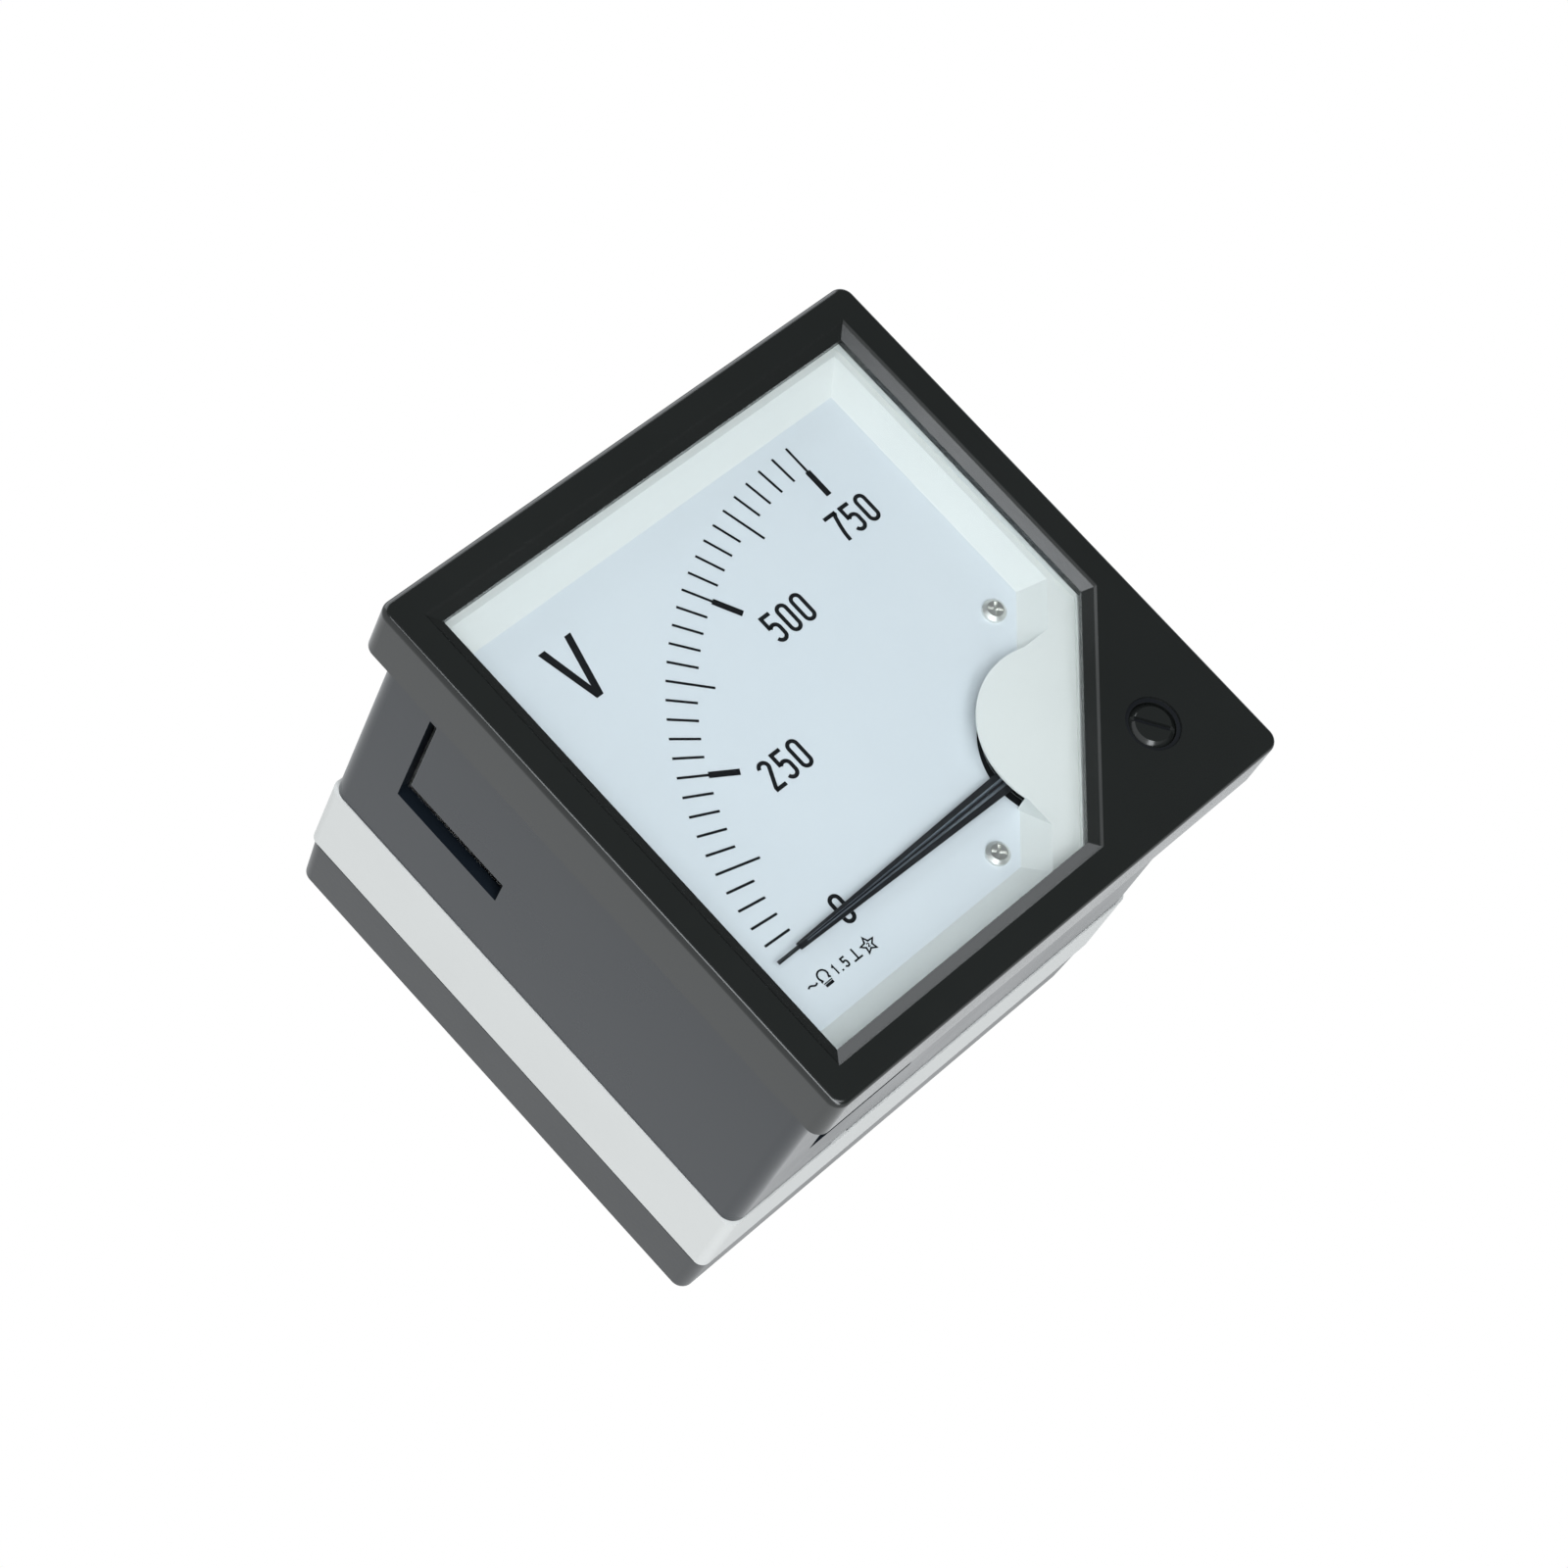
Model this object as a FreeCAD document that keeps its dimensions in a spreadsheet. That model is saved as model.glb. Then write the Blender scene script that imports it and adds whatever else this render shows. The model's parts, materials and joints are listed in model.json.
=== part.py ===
# Square analog panel meter with a moving coil, a quadrant scale and a corner pivot.
# Millimetres: x to the right of the face, y from the face into the panel, z up.
# The origin is the centre of the panel seat, the plane of the bezel's rear edge.
import FreeCAD, Part
import Sketcher
import math
import os
from collections import namedtuple
from FreeCAD import Placement, Rotation, Vector

SIZES = {
    # Bezel and window
    "face_size": (80.0, "square front of the bezel"),
    "bezel_depth": (9.0, "bezel, front to rear edge"),
    "bezel_corner": (1.9, "corner radius of the bezel"),
    "bezel_inner_corner": (2.0, "corner radius inside the bezel"),
    "bezel_edge": (0.8, "rounding of the bezel's front edge"),
    "bezel_wall": (2.25, "side wall of the bezel"),
    "lip_thick": (2.0, "front lip around the window"),
    "window_border": (4.35, "bezel's face beside the window"),
    "window_edge": (0.3, "broken front edge of the window"),
    "window_bevel": (1.4, "inset of the bevel around the window"),
    "window_bevel_deep": (0.95, "face to the straight part of the window's wall"),
    "window_cut": (25.3, "leg of the window's cut corner at the face"),
    "pane_thick": (1.2, "window pane"),
    "pane_lap": (2.3, "overlap of the pane behind the lip"),
    # Dial surround; legs run along the face's edges from its lower right corner
    "flange_thick": (1.8, "flange of the dial surround"),
    "flange_margin": (0.3, "gap around the flange"),
    "tray_depth": (4.3, "flange front to dial"),
    "tray_mouth_inset": (0.6, "window's edge to the tray's mouth"),
    "tray_side_slope": (3.45, "inset of the tray's side walls at the dial"),
    "tray_end_slope": (4.4, "inset of the tray's upper and lower walls at the dial"),
    "tray_wall": (1.1, "sloped walls of the tray"),
    "tray_foot_leg": (44.8, "leg of the tray's diagonal wall at the dial"),
    "shelf_edge_leg": (40.6, "leg of the shelf's front edge"),
    "shelf_rear_leg": (35.6, "leg of the line where the shelf meets the flange"),
    "shelf_step": (1.1, "flange front to shelf"),
    "shelf_root": (0.3, "movement cover rooted in the shelf"),
    "cover_radius": (11.76, "rounded nose of the movement cover"),
    "cover_flat": (11.2, "pivot to the straight edges of the movement cover"),
    "cover_wall": (0.9, "skirt of the movement cover"),
    "cover_rim": (0.3, "rim of the movement cover over the pointer slot"),
    "pointer_slot_start": (75.0, "angle of the slot's end past full scale"),
    "pointer_slot_sweep": (122.0, "angle of the pointer slot"),
    # Dial; places are measured from the face's right and lower edges
    "dial_thick": (0.5, "dial plate"),
    "dial_margin": (0.8, "gap between the dial plate and the case"),
    "dial_foot_gap": (0.1, "tray's diagonal wall to the dial plate's diagonal edge"),
    "dial_bore": (10.3, "radius of the bite around the movement"),
    "pivot_side": (18.85, "pivot from the right edge"),
    "pivot_rise": (18.54, "pivot from the lower edge"),
    "right_post_side": (12.9, "right post from the right edge"),
    "right_post_rise": (36.17, "right post from the lower edge"),
    "left_post_side": (36.69, "left post from the right edge"),
    "left_post_rise": (12.35, "left post from the lower edge"),
    "corner_post_inset": (8.25, "corner pillar from both edges"),
    # Case, base ring and rear cover
    "case_wall": (1.8, "walls of case, base ring and rear cover"),
    "case_corner": (2.2, "corner radius of the case"),
    "case_behind": (37.85, "panel seat to the seam of the base ring"),
    "slot_narrow": (1.2, "narrow leg of the clamp slot"),
    "slot_wide": (4.4, "wide leg of the clamp slot"),
    "slot_front": (5.28, "panel seat to the narrow leg"),
    "slot_turn": (20.7, "panel seat to the wide leg"),
    "slot_inset": (8.84, "case's side to the clamp slot"),
    "slot_reach": (18.16, "length of the wide leg"),
    "latch_long": (10.0, "snap latches between case and bezel"),
    "latch_wide": (1.0, "latch, along the depth"),
    "latch_high": (0.5, "latch, above the case"),
    "latch_root": (0.5, "latch, rooted in the case"),
    "latch_place": (2.5, "latch in front of the panel seat"),
    "pry_place": (18.2, "pry notch from the centre"),
    "pry_wide": (3.0, "pry notch"),
    "pry_deep": (1.2, "pry notch, along the depth"),
    "pry_wall": (1.0, "pry notch, into the wall"),
    "base_proud": (0.2, "base ring beyond the case"),
    "base_corner": (1.4, "corner radius of the base ring"),
    "base_depth": (14.65, "base ring, seam to seam"),
    "tongue_long": (2.5, "tongue of the base ring in the case"),
    "tongue_wall": (1.2, "wall of the tongue"),
    "web_setback": (1.7, "seam to the web of the base ring"),
    "web_thick": (2.0, "web of the base ring"),
    "lead_hole": (4.0, "radius of the hole for the leads in the web"),
    "cover_depth": (10.3, "rear cover"),
    "cover_step": (0.2, "base ring beyond the rear cover"),
    "cover_taper": (0.3, "rear cover, seam to back"),
    "cover_corner": (1.8, "corner radius of the rear cover"),
    "cover_floor": (2.0, "floor of the rear cover"),
    "cover_edge": (0.4, "chamfer around the back of the rear cover"),
    "seam_chamfer": (0.35, "chamfer that makes the seam line"),
    "spigot_long": (1.2, "spigot of the rear cover in the base ring"),
    "spigot_wall": (1.0, "wall of the spigot"),
    "boss_inset": (5.0, "screw boss from the walls, both ways"),
    "boss_radius": (3.3, "screw boss"),
    # Clearances
    "snug_gap": (0.05, "parts that locate each other"),
    "slip_gap": (0.15, "case inside the bezel"),
    "running_gap": (0.07, "turning fits"),
    "layer_gap": (0.2, "movement parts above each other"),
    "free_gap": (0.3, "parts that must stay clear"),
    "tool_over": (1.0, "cutting tools past the part that they cut"),
    # Screws
    "dial_screw": (1.0, "shank radius of the dial screws"),
    "dial_screw_head": (1.6, "head radius of the dial screws"),
    "dial_screw_high": (0.9, "head of the dial screws"),
    "dial_screw_bite": (2.4, "dial screws in the posts"),
    "case_screw": (1.25, "shank radius of the case screws"),
    "case_screw_head": (2.3, "head radius of the case screws"),
    "case_screw_high": (1.6, "head of the case screws"),
    "case_screw_bite": (8.0, "case screws in the carrier's pillars"),
    "cover_screw_bite": (4.0, "case screws in the base ring's bosses"),
    "cover_screw_bore": (8.0, "screw bores in the base ring's bosses"),
    "bridge_screw": (0.7, "shank radius of the bridge screws"),
    "bridge_screw_head": (1.2, "head radius of the bridge screws"),
    "bridge_screw_high": (0.8, "head of the bridge screws"),
    "bridge_screw_bite": (1.5, "bridge screws in the carrier"),
    "board_screw_bite": (3.0, "board screws in the stand-offs"),
    "recess_wide": (0.4, "drive slots"),
    # Zero adjuster
    "adjuster_side": (12.1, "adjuster from the right edge"),
    "adjuster_rise": (11.7, "adjuster from the lower edge"),
    "adjuster_radius": (3.05, "slotted disc of the adjuster"),
    "adjuster_ring": (3.7, "radius of the recess around the disc"),
    "adjuster_ring_deep": (0.45, "recess around the disc"),
    "adjuster_chamfer": (0.65, "edge of the disc"),
    "adjuster_sunk": (0.1, "disc behind the face"),
    "adjuster_slot_wide": (0.7, "driver slot"),
    "adjuster_slot_deep": (0.55, "driver slot"),
    "collar_radius": (3.6, "collar behind the lip"),
    "collar_thick": (0.8, "collar behind the lip"),
    "adjuster_shaft": (1.4, "shaft radius"),
    "crank_offset": (0.8, "eccentricity of the crank pin"),
    "crank_pin": (0.5, "radius of the crank pin"),
    "crank_root": (0.5, "crank pin rooted in the shaft"),
    "lever_thick": (0.3, "zero lever"),
    "lever_rim": (0.8, "ring of the zero lever around the jewel screw"),
    "lever_wide": (3.0, "zero lever across its fork"),
    "lever_overhang": (1.4, "fork past the crank pin"),
    "fork_deep": (2.6, "fork slot"),
    "spring_stud": (0.5, "lugs that hold the springs' outer ends"),
    # Movement
    "bridge_thick": (0.7, "front and rear bridges"),
    "bridge_wide": (3.2, "front and rear bridges"),
    "bridge_reach": (8.8, "pivot to the front bridge's legs"),
    "bridge_leg": (1.3, "radius of the bridges' legs"),
    "front_bridge_drop": (1.1, "surround's back to the front bridge"),
    "jewel_radius": (1.25, "jewel screws"),
    "jewel_proud": (0.6, "jewel screws past their bridge"),
    "jewel_cup": (0.4, "depth of the cups in the jewel screws"),
    "pivot_radius": (0.35, "pivots of the spindles"),
    "pivot_entry": (0.12, "pivots in the jewel cups"),
    "pivot_taper": (0.3, "tapered ends of the pivots"),
    "collet_radius": (0.8, "spring collets"),
    "collet_margin": (0.05, "collet past the hairspring"),
    "spring_outer": (4.0, "radius of the hairsprings"),
    "spring_thick": (0.12, "hairspring strip"),
    "spring_wide": (0.3, "hairspring strip"),
    "spring_turns": (4.0, "turns of the hairsprings"),
    "spindle_hub": (1.6, "radius of the pointer's seat on the front spindle"),
    "hub_long": (1.0, "pointer's seat to the spindle's foot"),
    "hub_rim": (0.8, "pointer's ring around its seat"),
    "spindle_foot": (2.6, "radius of the spindles' feet"),
    "spindle_foot_thick": (0.6, "feet on the coil"),
    "coil_wide": (2.4, "coil former, across"),
    "coil_thick": (1.2, "wire of the coil"),
    "former_thick": (0.5, "coil former"),
    "winding_wide": (2.0, "wire of the coil, across"),
    "core_radius": (5.2, "core magnet"),
    "core_long": (11.8, "core magnet"),
    "air_gap": (0.4, "coil to core and coil to yoke"),
    "yoke_long": (13.0, "yoke ring"),
    "yoke_wall": (3.2, "yoke ring"),
    "core_bar_thick": (3.0, "bar that holds the core"),
    "carrier_thick": (2.2, "movement carrier"),
    "carrier_radius": (13.5, "movement carrier around the pivot"),
    "arm_wide": (5.0, "arms of the movement carrier"),
    "post_long": (2.5, "dial posts"),
    "post_radius": (2.2, "dial posts"),
    "pillar_radius": (2.6, "pillars of the movement carrier"),
    "coil_setback": (0.8, "carrier's front to the coil's front"),
    "rear_spring_gap": (1.8, "coil's back to the rear spring"),
    "rear_bridge_gap": (4.1, "coil's back to the rear bridge"),
    # Pointer
    "pointer_tip_gap": (2.05, "pointer's tip to the tray's side wall"),
    "pointer_tip_long": (3.5, "narrow tip of the pointer"),
    "pointer_tip_root": (0.5, "tip rooted in the blade"),
    "pointer_root": (9.2, "pivot to the pointer's crank"),
    "pointer_root_wide": (2.9, "pointer at the movement cover"),
    "pointer_neck_wide": (1.0, "pointer at its step"),
    "pointer_tip_wide": (0.5, "pointer's tip"),
    "pointer_thick": (0.6, "pointer over its ridge"),
    "pointer_sheet": (0.4, "pointer's arm and crank"),
    "pointer_arm_wide": (2.4, "pointer's arm and crank"),
    "pointer_gap": (0.5, "surround's back to the pointer"),
    "balance_reach": (6.0, "balance arms"),
    "balance_wide": (0.8, "balance arms"),
    "weight_radius": (0.9, "balance weights"),
    "weight_long": (1.3, "balance weights"),
    "weight_inset": (0.2, "balance weights from the ends of their arms"),
    # Terminals and circuit board
    "stud_place": (18.0, "studs from the centre"),
    "stud_radius": (2.0, "terminal studs"),
    "stud_neck": (1.75, "radius of the studs at the root of their thread"),
    "stud_relief": (0.3, "bare neck behind the nut"),
    "stud_free": (7.0, "free end of the studs"),
    "stud_head": (4.0, "corner radius of the studs' hexagon heads"),
    "stud_head_high": (2.6, "stud heads"),
    "nut_radius": (4.0, "corner radius of the nuts"),
    "nut_high": (3.2, "nuts"),
    "washer_radius": (4.5, "washers"),
    "washer_thick": (0.8, "washers"),
    "spring_washer_radius": (3.6, "spring washers"),
    "spring_washer_thick": (1.0, "spring washers"),
    "strip_thick": (0.8, "terminal strips"),
    "strip_wide": (6.0, "terminal strips"),
    "strip_inset": (5.4, "stud to the strip's leg"),
    "strip_over": (1.5, "terminal strips past the studs"),
    "board_margin": (8.5, "base ring's wall to the circuit board"),
    "board_thick": (1.6, "circuit board"),
    "standoff_long": (4.5, "stand-offs of the circuit board"),
    "standoff_radius": (2.4, "stand-offs of the circuit board"),
    "standoff_inset": (7.5, "stand-offs from the board's edges"),
    "resistor_radius": (1.9, "series resistors"),
    "resistor_long": (9.0, "series resistors"),
    "resistor_place": (11.0, "series resistors from the centre"),
    "diode_radius": (1.3, "rectifier diodes"),
    "diode_long": (5.0, "rectifier diodes"),
    "diode_place": (3.2, "rectifier diodes from the centre"),
    "diode_side": (6.2, "rectifier diodes from the centre"),
    "lead_radius": (0.4, "component leads"),
    "lead_out": (1.5, "component leads before their bend"),
}

ROOT_TWO = math.sqrt(2.0)
EQUAL_WITHIN = 0.01
BACKWARDS_OVER = 1.0
SPRING_STEPS = 16
LEAD_SIDES = 8
HEAD_TOP = 0.7
HEAD_RIM = 0.55
RECESS_DEPTH = 0.5
RECESS_REACH = 0.62
CUP_FLOOR = 0.5
PIVOT_POINT = 0.6
BLADE_SIDE = 0.35
POINTER_ANGLE = 180.0
BRIDGE_ANGLE = 45.0
REAR_BRIDGE_ANGLE = 135.0
ADJUSTER_SLOT_ANGLE = -53.0
CROSS = (45.0, 135.0)
SLOTTED = (45.0,)

DOC = FreeCAD.newDocument("PanelMeter")
SHEET = DOC.addObject("Spreadsheet::Sheet", "Sizes")
NODES = {}
Disc = namedtuple("Disc", "x z radius")


class Size:
    """A length that carries its number and the sheet formula that gives it."""

    def __init__(self, number, formula=None):
        self.number = float(number)
        self.formula = formula or "(%r)" % self.number

    def __add__(self, other):
        return joined(self, "+", other)

    def __radd__(self, other):
        return joined(other, "+", self)

    def __sub__(self, other):
        return joined(self, "-", other)

    def __rsub__(self, other):
        return joined(other, "-", self)

    def __mul__(self, other):
        return joined(self, "*", other)

    def __rmul__(self, other):
        return joined(other, "*", self)

    def __truediv__(self, other):
        return joined(self, "/", other)

    def __neg__(self):
        return joined(-1.0, "*", self)


def sized(value):
    """Let a plain number stand where a size is wanted."""
    return value if isinstance(value, Size) else Size(value)


def joined(left, sign, right):
    """Combine two sizes in number and in formula."""
    left = sized(left)
    right = sized(right)
    result = {
        "+": lambda: left.number + right.number,
        "-": lambda: left.number - right.number,
        "*": lambda: left.number * right.number,
        "/": lambda: left.number / right.number,
    }[sign]()
    return Size(result, "(%s %s %s)" % (left.formula, sign, right.formula))


def root(value):
    """Square root of a size."""
    return Size(math.sqrt(value.number), "sqrt(%s)" % value.formula)


def arctangent(value):
    """Angle in degrees whose slope is a ratio of two sizes."""
    return Size(math.degrees(math.atan(value.number)), "(atan(%s) / 1 deg)" % value.formula)


class SizeSheet:
    """The driving dimensions, each read as a Size by its alias."""

    def __init__(self):
        for row, (alias, (number, meaning)) in enumerate(SIZES.items(), start=2):
            SHEET.set("A%d" % row, meaning)
            SHEET.set("B%d" % row, str(number))
            SHEET.setAlias("B%d" % row, alias)
            setattr(self, alias, Size(number, "Sizes." + alias))
        DOC.recompute()


size = SizeSheet()

# Depths, from the face backwards
FACE = -size.bezel_depth
LIP_BACK = FACE + size.lip_thick
PANE_BACK = LIP_BACK + size.pane_thick
SHELF = PANE_BACK + size.shelf_step
FLANGE_BACK = PANE_BACK + size.flange_thick
DIAL = PANE_BACK + size.tray_depth
DIAL_BACK = DIAL + size.dial_thick
CARRIER = DIAL_BACK + size.post_long
CARRIER_BACK = CARRIER + size.carrier_thick
SEAM = size.case_behind
WEB = SEAM + size.web_setback
WEB_BACK = WEB + size.web_thick
REAR_SEAM = SEAM + size.base_depth
COVER_BACK = REAR_SEAM + size.cover_depth
COVER_FLOOR = COVER_BACK - size.cover_floor
BOARD = WEB_BACK + size.standoff_long
BOARD_BACK = BOARD + size.board_thick
SPRING_WASHER = COVER_BACK + size.washer_thick
NUT = SPRING_WASHER + size.spring_washer_thick
NUT_BACK = NUT + size.nut_high

# Depths of the movement
FRONT_BRIDGE = FLANGE_BACK + size.front_bridge_drop
FRONT_BRIDGE_BACK = FRONT_BRIDGE + size.bridge_thick
LEVER = FRONT_BRIDGE_BACK + size.layer_gap
LEVER_BACK = LEVER + size.lever_thick
FRONT_JEWEL_END = LEVER_BACK + size.layer_gap
FRONT_SPRING = FRONT_JEWEL_END + size.free_gap
YOKE_BACK = CARRIER_BACK + size.yoke_long
COIL = CARRIER + size.coil_setback
FORMER = COIL + size.coil_thick
CORE = FORMER + size.former_thick + size.air_gap
CORE_BACK = CORE + size.core_long
FORMER_BACK = CORE_BACK + size.air_gap + size.former_thick
COIL_BACK = FORMER_BACK + size.coil_thick
SPINDLE_FOOT = COIL - size.spindle_foot_thick
REAR_SPRING = COIL_BACK + size.rear_spring_gap
REAR_BRIDGE = COIL_BACK + size.rear_bridge_gap
REAR_BRIDGE_BACK = REAR_BRIDGE + size.bridge_thick
REAR_JEWEL_END = REAR_SPRING + size.spring_wide + size.free_gap * 2
POINTER = FLANGE_BACK + size.pointer_gap
POINTER_BACK = POINTER + size.pointer_thick
HUB = SPINDLE_FOOT - size.hub_long - size.pointer_sheet
CORE_BAR = (CORE + CORE_BACK) / 2 - size.core_bar_thick / 2
CORE_BAR_BACK = CORE_BAR + size.core_bar_thick

# Half widths that neighbours share
FACE_HALF = size.face_size / 2
BEZEL_INNER = FACE_HALF - size.bezel_wall
CASE_HALF = BEZEL_INNER - size.slip_gap
CASE_INNER = CASE_HALF - size.case_wall
BASE_HALF = CASE_HALF + size.base_proud
BASE_INNER = BASE_HALF - size.case_wall
COVER_HALF = BASE_HALF - size.cover_step
WINDOW_HALF = FACE_HALF - size.window_border
MOUTH_HALF = WINDOW_HALF - size.tray_mouth_inset
DIAL_HALF = CASE_INNER - size.dial_margin
BOARD_HALF = BASE_INNER - size.board_margin

# Diagonal lines across the lower right corner, as x - z
FACE_CORNER = size.face_size
WINDOW_CUT = WINDOW_HALF * 2 - size.window_cut
FOOT_CUT = FACE_CORNER - size.tray_foot_leg
SHELF_CUT = FACE_CORNER - size.shelf_edge_leg
SHELF_REAR_CUT = FACE_CORNER - size.shelf_rear_leg
DIAL_CUT = FOOT_CUT + (size.tray_wall + size.dial_foot_gap) * ROOT_TWO

# Radii of the movement
FORMER_INNER = size.core_radius + size.air_gap
FORMER_OUTER = FORMER_INNER + size.former_thick
COIL_OUTER = FORMER_OUTER + size.coil_thick
COIL_SWEEP = root(COIL_OUTER * COIL_OUTER + size.winding_wide * size.winding_wide / 4)
YOKE_INNER = COIL_SWEEP + size.air_gap
YOKE_OUTER = YOKE_INNER + size.yoke_wall
YOKE_MIDDLE = (YOKE_INNER + YOKE_OUTER) / 2


def from_corner(side, rise):
    """A place given by its distances from the face's right and lower edges."""
    return FACE_HALF - side, rise - FACE_HALF


# Places in the face view
PIVOT_X, PIVOT_Z = from_corner(size.pivot_side, size.pivot_rise)
ADJUSTER_X, ADJUSTER_Z = from_corner(size.adjuster_side, size.adjuster_rise)
POSTS = [
    from_corner(size.right_post_side, size.right_post_rise),
    from_corner(size.left_post_side, size.left_post_rise),
]
PILLARS = POSTS + [from_corner(size.corner_post_inset, size.corner_post_inset)]
BOSS = BASE_INNER - size.boss_inset
BOSSES = [(-BOSS, -BOSS), (BOSS, BOSS)]
STANDOFF = BOARD_HALF - size.standoff_inset
STANDOFFS = [(-STANDOFF, STANDOFF), (STANDOFF, STANDOFF)]
STUDS = [(-size.stud_place, Size(0.0)), (size.stud_place, Size(0.0))]
POINTER_RADIUS = PIVOT_X + MOUTH_HALF - size.tray_side_slope - size.pointer_tip_gap
POINTER_NECK = POINTER_RADIUS - size.pointer_tip_long


def bridge_spots(angle, reach):
    """Centres of a bridge's two legs."""
    spots = []
    for side in (-1.0, 1.0):
        across = side * math.cos(math.radians(angle))
        up = side * math.sin(math.radians(angle))
        spots.append((PIVOT_X + reach * across, PIVOT_Z + reach * up))
    return spots


FRONT_LEGS = bridge_spots(BRIDGE_ANGLE, size.bridge_reach)
REAR_LEGS = bridge_spots(REAR_BRIDGE_ANGLE, YOKE_MIDDLE)


# Building functions


def bind(thing, prop, value):
    """Tie one property to the formula of a size."""
    thing.setExpression(prop, sized(value).formula)


def place(thing, x, z, angle=0.0, depth=0.0):
    """Move a piece to x, z and turn its local x axis to an angle in the face view."""
    thing.Placement = Placement(Vector(), Rotation(Vector(0, 1, 0), -angle))
    bind(thing, "Placement.Base.x", x)
    bind(thing, "Placement.Base.y", depth)
    bind(thing, "Placement.Base.z", z)
    return thing


def node(label, thing):
    """Name a finished piece and keep it for export."""
    thing.Label = label
    NODES[label] = thing
    return thing


def new_body():
    """An empty PartDesign body."""
    return DOC.addObject("PartDesign::Body", "Body")


def origin_plane(body, role):
    """One of the body's own origin features."""
    return next(item for item in body.Origin.OriginFeatures if item.Role == role)


def sketch(body, role, offset, loops):
    """Closed loops on a plane parallel to an origin plane: Disc entries or lists of corners."""
    flat = body.newObject("Sketcher::SketchObject", "Outline")
    flat.AttachmentSupport = (origin_plane(body, role), [""])
    flat.MapMode = "FlatFace"
    bind(flat, "AttachmentOffset.Base.z", offset)
    for loop in loops:
        if isinstance(loop, Disc):
            add_disc(flat, loop)
        else:
            add_polygon(flat, loop)
    return flat


def pin_point(flat, item, spot, across, up):
    """Hold one point of a sketch at its own two sizes."""
    for kind, value in (("DistanceX", across), ("DistanceY", up)):
        value = sized(value)
        number = flat.addConstraint(Sketcher.Constraint(kind, -1, 1, item, spot, value.number))
        flat.setExpression("Constraints[%d]" % number, value.formula)


def add_disc(flat, disc):
    """A circle with its centre and radius bound to sizes."""
    x, z, radius = (sized(value) for value in disc)
    circle = Part.Circle(Vector(x.number, z.number, 0), Vector(0, 0, 1), radius.number)
    item = flat.addGeometry(circle, False)
    pin_point(flat, item, 3, x, z)
    number = flat.addConstraint(Sketcher.Constraint("Radius", item, radius.number))
    flat.setExpression("Constraints[%d]" % number, radius.formula)


def add_polygon(flat, corners):
    """A closed polygon with every corner bound to sizes."""
    spots = [(sized(x), sized(z)) for x, z in corners]
    items = []
    for start, stop in zip(spots, spots[1:] + spots[:1]):
        line = Part.LineSegment(
            Vector(start[0].number, start[1].number, 0),
            Vector(stop[0].number, stop[1].number, 0),
        )
        items.append(flat.addGeometry(line, False))
    for item, following in zip(items, items[1:] + items[:1]):
        flat.addConstraint(Sketcher.Constraint("Coincident", item, 2, following, 1))
    for item, (x, z) in zip(items, spots):
        pin_point(flat, item, 1, x, z)


def face_sketch(body, depth, loops):
    """Loops in the face view, at a depth behind the panel seat."""
    return sketch(body, "XZ_Plane", -depth, loops)


def pad(body, flat, length, mirrored=False):
    """Extrude a face sketch backwards, or another sketch along its normal."""
    feature = body.newObject("PartDesign::Pad", "Pad")
    feature.Profile = flat
    bind(feature, "Length", length)
    feature.Reversed = flat.AttachmentSupport[0][0].Role == "XZ_Plane"
    feature.Midplane = mirrored
    return feature


def pocket(body, flat, length, reverse=False):
    """Cut a sketch into the body and make sure that it cut something."""
    DOC.recompute()
    before = body.Shape.Volume
    feature = body.newObject("PartDesign::Pocket", "Pocket")
    feature.Profile = flat
    bind(feature, "Length", length)
    feature.Reversed = reverse
    DOC.recompute()
    if not body.Shape.Volume < before:
        raise RuntimeError("a pocket cut nothing in " + body.Name)
    return feature


def box_loop(left, right, low, high):
    """Corners of a rectangle."""
    return [(left, low), (right, low), (right, high), (left, high)]


def square(half):
    """Corners of a square about the centre."""
    return box_loop(-half, half, -half, half)


def cut_square(half_wide, half_tall, cut):
    """A rectangle whose lower right corner is cut along x - z = cut."""
    return [
        (-half_wide, -half_tall),
        (cut - half_tall, -half_tall),
        (half_wide, half_wide - cut),
        (half_wide, half_tall),
        (-half_wide, half_tall),
    ]


def loft(body, kind, first, last):
    """A ruled loft between two sketches; kind is Additive or Subtractive."""
    feature = body.newObject("PartDesign::%sLoft" % kind, kind + "Loft")
    feature.Profile = first
    feature.Sections = [last]
    feature.Ruled = True
    return feature


def edge_names(shape, wanted):
    """Names of the edges that pass a test on their two end points."""
    names = []
    for number, edge in enumerate(shape.Edges, start=1):
        ends = [vertex.Point for vertex in edge.Vertexes]
        if len(ends) == 2 and wanted(*ends):
            names.append("Edge%d" % number)
    return names


def round_edges(body, radius, wanted, kind="Fillet"):
    """Fillet or chamfer the edges of the tip that pass a test."""
    DOC.recompute()
    tip = body.Tip
    names = edge_names(tip.Shape, wanted)
    if not names:
        raise RuntimeError("no edge to round in " + body.Name)
    feature = body.newObject("PartDesign::" + kind, kind)
    feature.Base = (tip, names)
    bind(feature, "Radius" if kind == "Fillet" else "Size", radius)
    return feature


def near(left, right):
    """Whether two lengths are the same but for rounding."""
    return abs(left - right) < EQUAL_WITHIN


def runs_back(one, two):
    """A test for the edges that run from the front to the rear."""
    return abs(one.y - two.y) > BACKWARDS_OVER


def corner_at(half):
    """A test for the edges that run backwards at the corners of a square."""

    def wanted(one, two):
        at_corner = all(near(abs(value), half.number) for value in (one.x, one.z, two.x, two.z))
        return at_corner and runs_back(one, two)

    return wanted


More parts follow.
